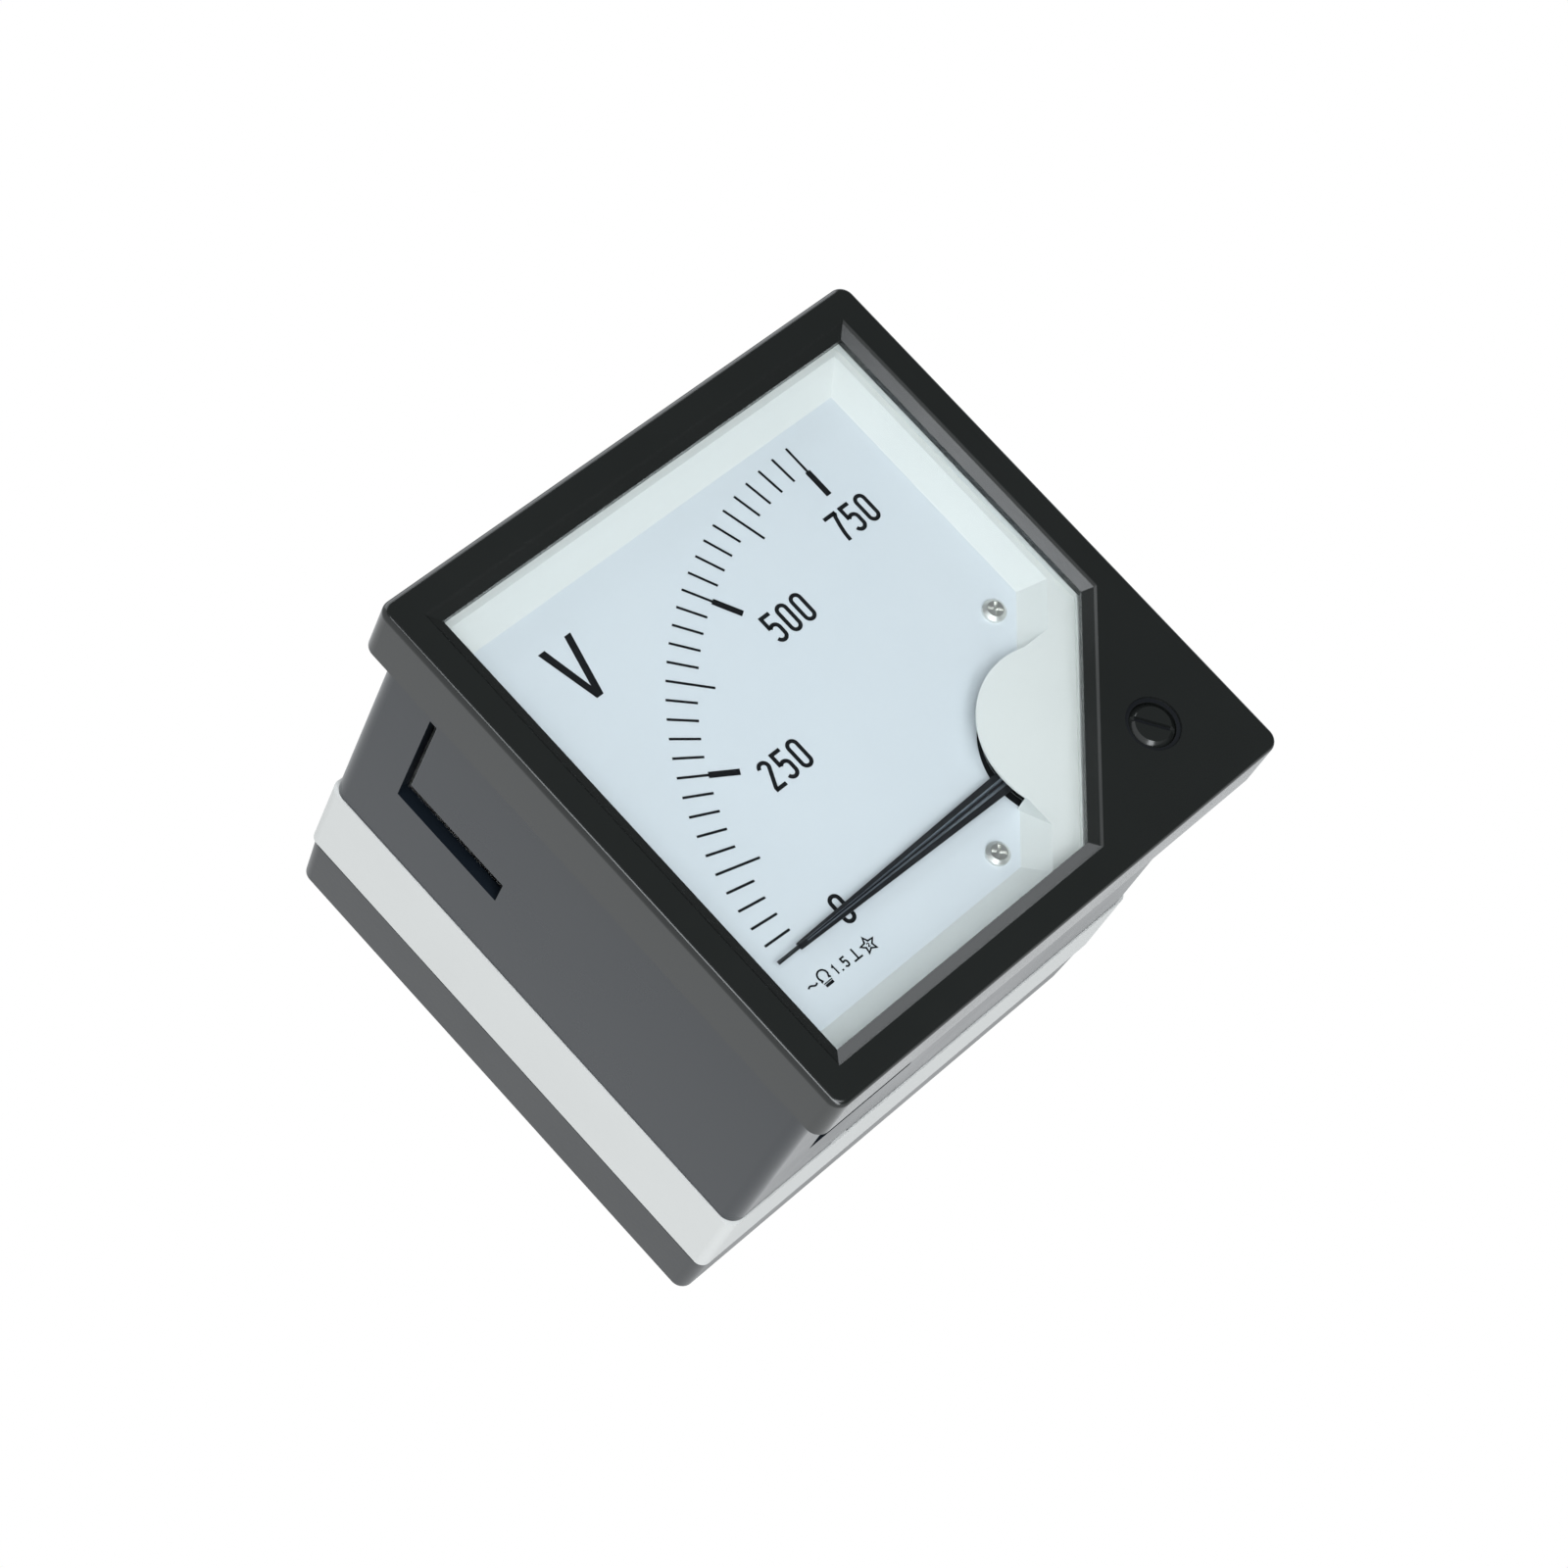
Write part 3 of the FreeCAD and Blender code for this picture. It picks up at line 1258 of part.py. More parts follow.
def rear_bridge():
    """Bar with two legs on the yoke; it holds the rear jewel screw and a spring lug."""
    body = bridge(REAR_BRIDGE, YOKE_BACK, REAR_BRIDGE_BACK, REAR_BRIDGE_BACK, YOKE_MIDDLE)
    lug = size.spring_outer + size.spring_stud
    lug_loop = box_loop(lug, lug + size.spring_stud, -size.spring_stud, size.spring_stud)
    pad(body, face_sketch(body, REAR_SPRING, [lug_loop]), REAR_BRIDGE - REAR_SPRING)
    return node("rear_bridge", place(body, PIVOT_X, PIVOT_Z, REAR_BRIDGE_ANGLE))


def bridge_screws():
    """Screws through the legs of both bridges into the movement carrier."""
    bite = size.bridge_screw_bite
    through = CARRIER - FRONT_BRIDGE + bite
    front = [small_screw(x, z, FRONT_BRIDGE, through, SLOTTED) for x, z in FRONT_LEGS]
    node("front_bridge_screws", group(front))
    through = REAR_BRIDGE_BACK - CARRIER_BACK + bite
    rear = [small_screw(x, z, REAR_BRIDGE_BACK, through, SLOTTED, backwards=False) for x, z in REAR_LEGS]
    node("rear_bridge_screws", group(rear))


def small_screw(x, z, seat, bite, slots, backwards=True):
    """One of the small screws of the movement and the circuit board."""
    head = size.bridge_screw_head
    high = size.bridge_screw_high
    return screw(x, z, seat, head, high, size.bridge_screw, bite, slots, backwards)


def movement_carrier():
    """Moulded plate around the coil, with arms, dial posts and pillars to the base."""
    body = new_body()
    ring = face_sketch(body, CARRIER, [Disc(PIVOT_X, PIVOT_Z, size.carrier_radius)])
    pad(body, ring, size.carrier_thick)
    for x, z in PILLARS:
        pad(body, face_sketch(body, CARRIER, [arm_corners(x, z)]), size.carrier_thick)
        boss = Disc(x, z, size.pillar_radius)
        pad(body, face_sketch(body, CARRIER, [boss]), WEB - CARRIER)
    posts = [Disc(x, z, size.post_radius) for x, z in POSTS]
    pad(body, face_sketch(body, DIAL_BACK, posts), size.post_long)
    opening = [Disc(PIVOT_X, PIVOT_Z, YOKE_INNER)]
    pocket(body, face_sketch(body, CARRIER, opening), size.carrier_thick)
    bores = [Disc(x, z, size.dial_screw) for x, z in POSTS]
    pocket(body, face_sketch(body, DIAL_BACK, bores), size.dial_screw_bite)
    bores = [Disc(x, z, size.case_screw) for x, z in PILLARS]
    pocket(body, face_sketch(body, WEB - size.case_screw_bite, bores), size.case_screw_bite)
    bite = size.bridge_screw_bite
    front = [Disc(x, z, size.bridge_screw) for x, z in FRONT_LEGS]
    pocket(body, face_sketch(body, CARRIER, front), bite)
    rear = [Disc(x, z, size.bridge_screw) for x, z in REAR_LEGS]
    pocket(body, face_sketch(body, CARRIER_BACK - bite, rear), bite)
    return node("movement_carrier", body)


def arm_corners(x, z):
    """A straight arm from the pivot to a pillar."""
    across = x - PIVOT_X
    up = z - PIVOT_Z
    long = root(across * across + up * up)
    side_x = up / long * (size.arm_wide / 2)
    side_z = across / long * (size.arm_wide / 2)
    return [
        (PIVOT_X + side_x, PIVOT_Z - side_z),
        (x + side_x, z - side_z),
        (x - side_x, z + side_z),
        (PIVOT_X - side_x, PIVOT_Z + side_z),
    ]


def pointer():
    """Pointer with a ridged blade, a crank into the movement and three balance arms."""
    body = new_body()
    sheet = size.pointer_sheet
    half = size.pointer_arm_wide / 2
    crank_at = size.pointer_root
    seat = size.spindle_hub + size.hub_rim
    pad(body, face_sketch(body, HUB, [Disc(0.0, 0.0, seat)]), sheet)
    pad(body, face_sketch(body, HUB, [box_loop(0.0, crank_at + sheet, -half, half)]), sheet)
    thin = size.balance_wide / 2
    reach = size.balance_reach
    pad(body, face_sketch(body, HUB, [box_loop(-reach, 0.0, -thin, thin)]), sheet)
    pad(body, face_sketch(body, HUB, [box_loop(-thin, thin, -reach, reach)]), sheet)
    crank = box_loop(crank_at, crank_at + sheet, -half, half)
    pad(body, face_sketch(body, POINTER, [crank]), HUB + sheet - POINTER)
    root_section = blade_section(size.pointer_root_wide, size.pointer_thick)
    neck_section = blade_section(size.pointer_neck_wide, size.pointer_thick)
    loft(
        body,
        "Additive",
        sketch(body, "YZ_Plane", crank_at, [root_section]),
        sketch(body, "YZ_Plane", POINTER_NECK, [neck_section]),
    )
    tip_section = blade_section(size.pointer_tip_wide, sheet)
    tip = sketch(body, "YZ_Plane", POINTER_NECK - size.pointer_tip_root, [tip_section])
    pad(body, tip, size.pointer_tip_long + size.pointer_tip_root)
    pocket(body, face_sketch(body, HUB, [Disc(0.0, 0.0, size.collet_radius)]), sheet)
    return node("pointer", place(body, PIVOT_X, PIVOT_Z, POINTER_ANGLE))


def blade_section(wide, thick):
    """Section of the pointer's blade: flat back, low sides and a ridge towards the viewer."""
    side = thick * BLADE_SIDE
    return [
        (POINTER_BACK, -wide / 2),
        (POINTER_BACK, wide / 2),
        (POINTER_BACK - side, wide / 2),
        (POINTER_BACK - thick, 0.0),
        (POINTER_BACK - side, -wide / 2),
    ]


def balance_weights():
    """Three small sleeves on the balance arms."""
    body = new_body()
    middle = HUB + size.pointer_sheet / 2
    start = size.balance_reach - size.weight_long - size.weight_inset
    thin = size.balance_wide / 2
    low = HUB
    high = HUB + size.pointer_sheet
    tail = sketch(body, "YZ_Plane", -start - size.weight_long, [
        Disc(middle, 0.0, size.weight_radius),
        box_loop(low, high, -thin, thin),
    ])
    pad(body, tail, size.weight_long)
    for offset in (start, -start - size.weight_long):
        side = sketch(body, "XY_Plane", offset, [
            Disc(0.0, middle, size.weight_radius),
            box_loop(-thin, thin, low, high),
        ])
        pad(body, side, size.weight_long)
    return node("balance_weights", place(body, PIVOT_X, PIVOT_Z, POINTER_ANGLE))


# Terminals and circuit board


def terminals():
    """Studs through the rear cover, with strips, washers and nuts."""
    node("terminal_studs", group([terminal_stud(x, z) for x, z in STUDS]))
    washers = [washer(x, z, COVER_BACK, SPRING_WASHER, size.washer_radius) for x, z in STUDS]
    node("stud_washers", group(washers))
    springs = [washer(x, z, SPRING_WASHER, NUT, size.spring_washer_radius) for x, z in STUDS]
    node("spring_washers", group(springs))
    node("stud_nuts", group([stud_nut(x, z) for x, z in STUDS]))
    node("terminal_strips", group([terminal_strip(side) for side in (-1.0, 1.0)]))


def terminal_stud(x, z):
    """Hexagon head, shank as thick as the thread's root where the nut grips, and a free end."""
    seat = COVER_FLOOR - size.strip_thick
    head_front = seat - size.stud_head_high
    free = NUT_BACK + size.stud_relief
    head = rod(x, z, head_front, seat, size.stud_head, "Prism", Polygon=6)
    neck = rod(x, z, head_front, free, size.stud_neck)
    end = rod(x, z, free, free + size.stud_free, size.stud_radius)
    return fused([head, neck, end])


def stud_nut(x, z):
    """Hexagon nut, bored to the thread's root."""
    nut = rod(x, z, NUT, NUT_BACK, size.nut_radius, "Prism", Polygon=6)
    return cut(nut, rod(x, z, NUT, NUT_BACK, size.stud_neck))


def washer(x, z, front, back, radius):
    """A washer around a stud."""
    return cut(rod(x, z, front, back, radius), rod(x, z, front, back, size.stud_radius))


def terminal_strip(side):
    """Bent brass strip from under a stud's head to the circuit board."""
    body = new_body()
    thick = size.strip_thick
    outer = size.stud_place + size.stud_radius + size.strip_over
    leg = size.stud_place - size.strip_inset
    profile = [
        (side * outer, COVER_FLOOR - thick),
        (side * outer, COVER_FLOOR),
        (side * (leg - thick), COVER_FLOOR),
        (side * (leg - thick), BOARD_BACK),
        (side * leg, BOARD_BACK),
        (side * leg, COVER_FLOOR - thick),
    ]
    pad(body, sketch(body, "XY_Plane", 0.0, [profile]), size.strip_wide, mirrored=True)
    hole = Disc(side * size.stud_place, 0.0, size.stud_radius + size.snug_gap)
    pocket(body, face_sketch(body, COVER_FLOOR - thick, [hole]), thick)
    return body


def circuit_board():
    """Board on two stand-offs, with its screws."""
    body = new_body()
    pad(body, face_sketch(body, BOARD, [square(BOARD_HALF)]), size.board_thick)
    holes = [Disc(x, z, size.bridge_screw + size.snug_gap) for x, z in STANDOFFS]
    pocket(body, face_sketch(body, BOARD, holes), size.board_thick)
    node("circuit_board", body)
    bite = size.board_thick + size.board_screw_bite
    screws = [small_screw(x, z, BOARD_BACK, bite, CROSS, backwards=False) for x, z in STANDOFFS]
    node("board_screws", group(screws))


def component(x, z, long, radius):
    """An axial component with its leads bent down to the board."""
    lift = BOARD_BACK + radius + size.free_gap
    reach = long / 2 + size.lead_out
    lead = size.lead_radius
    parts = [side_rod(x - long / 2, x + long / 2, lift, z, radius)]
    parts.append(side_rod(x - reach, x + reach, lift, z, lead, "Prism", Polygon=LEAD_SIDES))
    for side in (-1.0, 1.0):
        at = x + side * reach
        parts.append(rod(at, z, BOARD_BACK, lift + lead, lead, "Prism", Polygon=LEAD_SIDES))
    return fused(parts)


def components():
    """Series resistors and rectifier diodes on the circuit board."""
    resistors = [
        component(Size(0.0), side * size.resistor_place, size.resistor_long, size.resistor_radius)
        for side in (-1.0, 1.0)
    ]
    node("series_resistors", group(resistors))
    diodes = [
        component(across * size.diode_side, up * size.diode_place, size.diode_long, size.diode_radius)
        for across in (-1.0, 1.0)
        for up in (-1.0, 1.0)
    ]
    node("rectifier_diodes", group(diodes))


def build():
    """Make every piece."""
    bezel_frame()
    window_pane()
    case()
    base_ring()
    rear_cover()
    housing_screws()
    dial_surround()
    dial_plate()
    dial_screws()
    zero_adjuster_screw()
    zero_lever()
    front_bridge()
    jewel_screw("front_jewel_screw", FRONT_BRIDGE - size.jewel_proud, FRONT_JEWEL_END)
    front_spindle()
    hairspring("front_hairspring", FRONT_SPRING, -BRIDGE_ANGLE, 1.0)
    coil_former()
    coil_winding()
    core_magnet()
    core_bar()
    yoke_ring()
    rear_spindle()
    hairspring("rear_hairspring", REAR_SPRING, REAR_BRIDGE_ANGLE, -1.0)
    rear_bridge()
    jewel_screw("rear_jewel_screw", REAR_BRIDGE_BACK + size.jewel_proud, REAR_JEWEL_END)
    bridge_screws()
    movement_carrier()
    pointer()
    balance_weights()
    terminals()
    circuit_board()
    components()


def check_objects():
    """Stop on any failed object or empty shape."""
    for thing in DOC.Objects:
        if "Invalid" in thing.State or "Error" in thing.State:
            raise RuntimeError("failed object " + thing.Name)
    for label, thing in NODES.items():
        if thing.Shape.isNull() or not thing.Shape.isValid() or not thing.Shape.Solids:
            raise RuntimeError("bad shape in " + label)


def write_parts():
    """Write one file for each named piece."""
    os.makedirs("parts", exist_ok=True)
    for label, thing in NODES.items():
        thing.Shape.exportStep("parts/%s.step" % label)
        print("%-22s solids %d volume %9.2f" % (label, len(thing.Shape.Solids), thing.Shape.Volume))


build()
DOC.recompute()
check_objects()
write_parts()
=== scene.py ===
"""Square analog panel meter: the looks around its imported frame.

The frame gives every solid in metres: x to the right of the face, y into the panel, z up.
This script dresses those solids, prints the dial, cuts the threads and sets up the studio.
"""

import json
import logging
import math
from dataclasses import dataclass, field
from enum import Enum
from typing import Dict, List, Optional, Sequence, Tuple, Union

import bmesh
import bpy
from mathutils import Matrix, Vector


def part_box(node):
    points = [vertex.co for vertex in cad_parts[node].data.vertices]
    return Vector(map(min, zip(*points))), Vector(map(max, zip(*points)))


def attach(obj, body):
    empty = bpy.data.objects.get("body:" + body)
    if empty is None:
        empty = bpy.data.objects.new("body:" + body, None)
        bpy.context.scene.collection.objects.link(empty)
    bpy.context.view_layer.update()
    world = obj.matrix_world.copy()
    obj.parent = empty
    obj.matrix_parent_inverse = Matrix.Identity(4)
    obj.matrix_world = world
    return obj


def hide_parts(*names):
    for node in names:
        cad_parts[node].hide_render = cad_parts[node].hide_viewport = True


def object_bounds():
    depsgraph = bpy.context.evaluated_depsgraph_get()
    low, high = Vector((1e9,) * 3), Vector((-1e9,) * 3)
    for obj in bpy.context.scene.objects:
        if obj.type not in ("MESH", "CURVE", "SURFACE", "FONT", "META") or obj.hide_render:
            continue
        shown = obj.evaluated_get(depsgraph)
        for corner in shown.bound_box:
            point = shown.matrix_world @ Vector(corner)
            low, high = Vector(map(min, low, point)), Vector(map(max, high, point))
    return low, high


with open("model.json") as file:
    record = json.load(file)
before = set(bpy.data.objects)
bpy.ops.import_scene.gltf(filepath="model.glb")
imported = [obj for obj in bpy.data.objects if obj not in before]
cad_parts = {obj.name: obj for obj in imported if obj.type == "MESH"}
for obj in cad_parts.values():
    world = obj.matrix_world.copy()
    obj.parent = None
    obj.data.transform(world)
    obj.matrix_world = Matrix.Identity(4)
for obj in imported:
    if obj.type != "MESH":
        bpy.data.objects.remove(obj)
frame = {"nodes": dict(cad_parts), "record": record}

logging.basicConfig(level=logging.INFO, format="%(message)s")
LOG = logging.getLogger("panel_meter")

MM = 0.001
CAD_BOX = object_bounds()

# Colour sockets of the Mix node, which has several of each name
MIX_A = 6
MIX_B = 7
MIX_RESULT = 2

# Watts of a soft box for each unit of its radiance and each square metre
WATTS = 4.0

# Least cosine that a ribbon's corner is mitred by
MITRE_LIMIT = 0.5

# Sides of a stud's head
HEXAGON = 6

Point = Tuple[float, float]
Stroke = Tuple[Point, Point]
Value = Union[float, Tuple[float, ...], bpy.types.NodeSocket]


def linear(hex_colour: str) -> Tuple[float, float, float, float]:
    """Turn an sRGB hex colour into linear light.

    Args:
        hex_colour: Six hex digits after a hash sign.

    Returns:
        Red, green, blue and alpha in linear light.
    """
    parts = [int(hex_colour[start:start + 2], 16) / 255.0 for start in (1, 3, 5)]
    light = [part / 12.92 if part <= 0.04045 else ((part + 0.055) / 1.055) ** 2.4 for part in parts]
    return (light[0], light[1], light[2], 1.0)


def add_node(
    tree: bpy.types.NodeTree,
    kind: str,
    inputs: Optional[Dict[Union[str, int], Value]] = None,
    **settings: object,
) -> bpy.types.Node:
    """Add one shader node with its settings and links.

    Args:
        tree: Node tree that gets the node.
        kind: Blender's type name of the node.
        inputs: Plain values or output sockets by the name or number of the input.
        settings: Properties of the node itself.

    Returns:
        The new node.
    """
    node = tree.nodes.new(kind)
    for name, setting in settings.items():
        setattr(node, name, setting)
    for name, value in (inputs or {}).items():
        if isinstance(value, bpy.types.NodeSocket):
            tree.links.new(value, node.inputs[name])
        else:
            node.inputs[name].default_value = value
    return node


def pitch(millimetres: float) -> float:
    """Texture scale whose features repeat every so many millimetres."""
    return 1.0 / (millimetres * MM)


def empty_material(name: str) -> Tuple[bpy.types.Material, bpy.types.NodeTree, bpy.types.Node]:
    """Make a material with only its output node.

    Args:
        name: Name of the finish.

    Returns:
        The material, its node tree and its output node.
    """
    material = bpy.data.materials.new(name)
    material.use_nodes = True
    material.node_tree.nodes.clear()
    output = add_node(material.node_tree, "ShaderNodeOutputMaterial")
    return material, material.node_tree, output


# Finishes


@dataclass(frozen=True)
class MouldedPlastic:
    """Injection moulded thermoplastic.

    The mould's spark-eroded skin gives a fine grain that softens reflections, and slow
    changes of melt and handling give cloudy patches of slightly different gloss.
    """

    name: str
    colour: str
    deep_colour: str
    roughness: float
    ior: float = 1.5
    grain_mm: float = 0.35
    grain_height_mm: float = 0.006
    cloud_mm: float = 14.0
    gloss_spread: float = 0.06

    def material(self) -> bpy.types.Material:
        """Build the plastic's nodes.

        Returns:
            The finish as a material.
        """
        material, tree, output = empty_material(self.name)
        place = add_node(tree, "ShaderNodeTexCoord").outputs["Object"]
        cloud = add_node(
            tree, "ShaderNodeTexNoise",
            {"Vector": place, "Scale": pitch(self.cloud_mm), "Detail": 4.0, "Roughness": 0.55},
        )
        tint = add_node(
            tree, "ShaderNodeMix",
            {
                "Factor": cloud.outputs["Fac"],
                MIX_A: linear(self.deep_colour),
                MIX_B: linear(self.colour),
            },
            data_type="RGBA",
        )
        gloss = add_node(
            tree, "ShaderNodeMapRange",
            {
                "Value": cloud.outputs["Fac"],
                "To Min": self.roughness - self.gloss_spread,
                "To Max": self.roughness + self.gloss_spread,
            },
        )
        grain = add_node(
            tree, "ShaderNodeTexNoise",
            {"Vector": place, "Scale": pitch(self.grain_mm), "Detail": 2.0, "Roughness": 0.6},
        )
        bump = add_node(
            tree, "ShaderNodeBump",
            {
                "Height": grain.outputs["Fac"],
                "Strength": 1.0,
                "Distance": self.grain_height_mm * MM,
            },
        )
        shader = add_node(
            tree, "ShaderNodeBsdfPrincipled",
            {
                "Base Color": tint.outputs[MIX_RESULT],
                "Roughness": gloss.outputs["Result"],
                "IOR": self.ior,
                "Normal": bump.outputs["Normal"],
            },
        )
        tree.links.new(shader.outputs["BSDF"], output.inputs["Surface"])
        return material


@dataclass(frozen=True)
class ClearSheet:
    """Clear acrylic sheet, polished and coated on both faces.

    A thin pane passes nearly all light straight on, and mirrors the room more and more
    as the view gets flatter. The coat passes most of what bare acrylic would mirror, as
    a sheet of a lower index does. What is left is sharp but for a faint moulding haze.
    """

    name: str
    tint: str
    mirror_tint: str
    ior: float = 1.22
    roughness: float = 0.03
    haze_mm: float = 20.0
    haze_height_mm: float = 0.01

    def material(self) -> bpy.types.Material:
        """Build the pane's nodes.

        Returns:
            The finish as a material.
        """
        material, tree, output = empty_material(self.name)
        place = add_node(tree, "ShaderNodeTexCoord").outputs["Object"]
        ripple = add_node(
            tree, "ShaderNodeTexNoise",
            {"Vector": place, "Scale": pitch(self.haze_mm), "Detail": 1.0},
        )
        bump = add_node(
            tree, "ShaderNodeBump",
            {
                "Height": ripple.outputs["Fac"],
                "Strength": 1.0,
                "Distance": self.haze_height_mm * MM,
            },
        )
        through = add_node(
            tree, "ShaderNodeBsdfTransparent",
            {"Color": linear(self.tint)},
        )
        mirror = add_node(
            tree, "ShaderNodeBsdfGlossy",
            {
                "Color": linear(self.mirror_tint),
                "Roughness": self.roughness,
                "Normal": bump.outputs["Normal"],
            },
        )
        share = add_node(tree, "ShaderNodeFresnel", {"IOR": self.ior})
        sheet = add_node(
            tree, "ShaderNodeMixShader",
            {0: share.outputs["Fac"], 1: through.outputs["BSDF"], 2: mirror.outputs["BSDF"]},
        )
        tree.links.new(sheet.outputs["Shader"], output.inputs["Surface"])
        return material


@dataclass(frozen=True)
class Metal:
    """Machined, drawn or plated metal.

    Fine lathe or drawing marks run around the part's depth and spread its highlights;
    a slow mottle of the plating or oxide shifts the tint.
    """

    name: str
    colour: str
    aged_colour: str
    roughness: float
    mark_mm: float = 0.5
    mark_height_mm: float = 0.004
    mottle_mm: float = 3.0
    stretch: float = 6.0
    gloss_share: float = 0.25

    def material(self) -> bpy.types.Material:
        """Build the metal's nodes.

        Returns:
            The finish as a material.
        """
        material, tree, output = empty_material(self.name)
        place = add_node(tree, "ShaderNodeTexCoord").outputs["Object"]
        across = add_node(
            tree, "ShaderNodeMapping",
            {"Vector": place, "Scale": (1.0, self.stretch, 1.0)},
        )
        mottle = add_node(
            tree, "ShaderNodeTexNoise",
            {"Vector": place, "Scale": pitch(self.mottle_mm), "Detail": 5.0, "Roughness": 0.6},
        )
        tint = add_node(
            tree, "ShaderNodeMix",
            {
                "Factor": mottle.outputs["Fac"],
                MIX_A: linear(self.aged_colour),
                MIX_B: linear(self.colour),
            },
            data_type="RGBA",
        )
        gloss = add_node(
            tree, "ShaderNodeMapRange",
            {
                "Value": mottle.outputs["Fac"],
                "To Min": self.roughness * (1.0 - self.gloss_share),
                "To Max": self.roughness * (1.0 + self.gloss_share),
            },
        )
        marks = add_node(
            tree, "ShaderNodeTexNoise",
            {"Vector": across.outputs["Vector"], "Scale": pitch(self.mark_mm), "Detail": 2.0},
        )
        bump = add_node(
            tree, "ShaderNodeBump",
            {
                "Height": marks.outputs["Fac"],
                "Strength": 1.0,
                "Distance": self.mark_height_mm * MM,
            },
        )
        shader = add_node(
            tree, "ShaderNodeBsdfPrincipled",
            {
                "Base Color": tint.outputs[MIX_RESULT],
                "Metallic": 1.0,
                "Roughness": gloss.outputs["Result"],
                "Normal": bump.outputs["Normal"],
            },
        )
        tree.links.new(shader.outputs["BSDF"], output.inputs["Surface"])
        return material


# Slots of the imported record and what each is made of
FINISHES = {
    # Black ABS from a polished mould: nearly black from the front, and a grey sheen at flat angles
    "black_plastic": MouldedPlastic(
        "polished_black_abs", "#1a1c1b", "#171918",
        roughness=0.19, grain_mm=0.5, grain_height_mm=0.002,
    ),
    # Clear acrylic pane with a thin anti-glare coat: colourless, and mirrors the room only faintly
    "clear_plastic": ClearSheet("coated_clear_acrylic", "#f5f6f6", "#ffffff"),
    # White polystyrene moulding: clean cool white with a soft sheen
    "white_plastic": MouldedPlastic(
        "white_polystyrene", "#edefec", "#e8ebe8",
        roughness=0.4, ior=1.55, grain_mm=0.8, grain_height_mm=0.003,
    ),
    # Dial sheet with baked matt enamel: even, a little bluer than the surround
    "dial_paint": MouldedPlastic(
        "baked_dial_enamel", "#e3e9ed", "#dee5ea",
        roughness=0.6, grain_mm=0.4, grain_height_mm=0.002,
    ),
    # Nickel plated steel screws and nuts: bright grey mirror with fine turning marks
    "plated_steel": Metal(
        "nickel_plated_steel", "#f2f2ee", "#dededa",
        roughness=0.42, mark_height_mm=0.001,
    ),
    # Black ABS of the case, a touch bluer and duller than the bezel
    "satin_black_plastic": MouldedPlastic(
        "satin_black_abs", "#12181f", "#0f151b",
        roughness=0.26, grain_mm=0.6, grain_height_mm=0.003,
    ),
    # Pale thermoplastic ring: neutral off-white with a soft sheen
    "pale_plastic": MouldedPlastic(
        "pale_abs", "#c4c5c3", "#bebfbd",
        roughness=0.42, grain_mm=0.6, grain_height_mm=0.004,
    ),
    # Black cover from a mould with a coarser grain: a soft grey haze at flat angles
    "grained_black_plastic": MouldedPlastic(
        "grained_black_abs", "#171a1d", "#131619",
        roughness=0.32, grain_mm=0.7, grain_height_mm=0.008,
    ),
    # Turned brass: yellow metal that browns a little where it is touched
    "brass": Metal(
        "turned_brass", "#d8b46a", "#b08c4c",
        roughness=0.3,
    ),
    # Hardened and ground steel pivots: a cold, clear mirror
    "bright_steel": Metal(
        "bright_pivot_steel", "#d2d2d4", "#b8b8bb",
        roughness=0.15,
    ),
    # Rolled phosphor bronze spring strip: reddish and bright
    "bronze_strip": Metal(
        "rolled_bronze_strip", "#c98d5a", "#a8703f",
        roughness=0.25,
    ),
    # Bare aluminium sheet: pale grey with a soft mirror
    "bare_aluminium": Metal(
        "bare_aluminium_sheet", "#d9dadc", "#c2c4c7",
        roughness=0.35,
    ),
    # Copper wire under clear varnish: red-brown, with marks as close as its turns
    "enamelled_copper": Metal(
        "varnished_copper_wire", "#b5602f", "#8c4420",
        roughness=0.3, mark_mm=0.15, mark_height_mm=0.02,
    ),
    # Cast magnet alloy, ground on its ends: dull dark grey
    "cast_magnet": Metal(
        "ground_magnet_alloy", "#8b8b8d", "#6d6d70",
        roughness=0.45, mark_mm=0.8, mark_height_mm=0.01,
    ),
    # Zinc plated soft iron: blue-grey and satin
    "plated_iron": Metal(
        "zinc_plated_iron", "#b9bcc0", "#989ca1",
        roughness=0.35,
    ),
    # Black glass-filled moulding inside: an even, flat black
    "inner_plastic": MouldedPlastic(
        "black_glass_filled_nylon", "#26272a", "#1f2022",
        roughness=0.55,
    ),
    # Satin black paint on the pointer: no grain to see, a weak sheen
    "pointer_paint": MouldedPlastic(
        "satin_pointer_paint", "#17191d", "#121418",
        roughness=0.4, grain_mm=0.2, grain_height_mm=0.003,
    ),
    # Glass-fibre laminate under green resist: glossy green, a little cloudy
    "board_laminate": MouldedPlastic(
        "resist_on_laminate", "#2c5a3c", "#244c32",
        roughness=0.35, ior=1.55, grain_mm=0.9, grain_height_mm=0.01,
    ),
    # Cream enamel on resistor bodies: warm and glossy
    "resistor_enamel": MouldedPlastic(
        "cream_resistor_enamel", "#d8c9a3", "#c9b98f",
        roughness=0.3, ior=1.55,
    ),
}


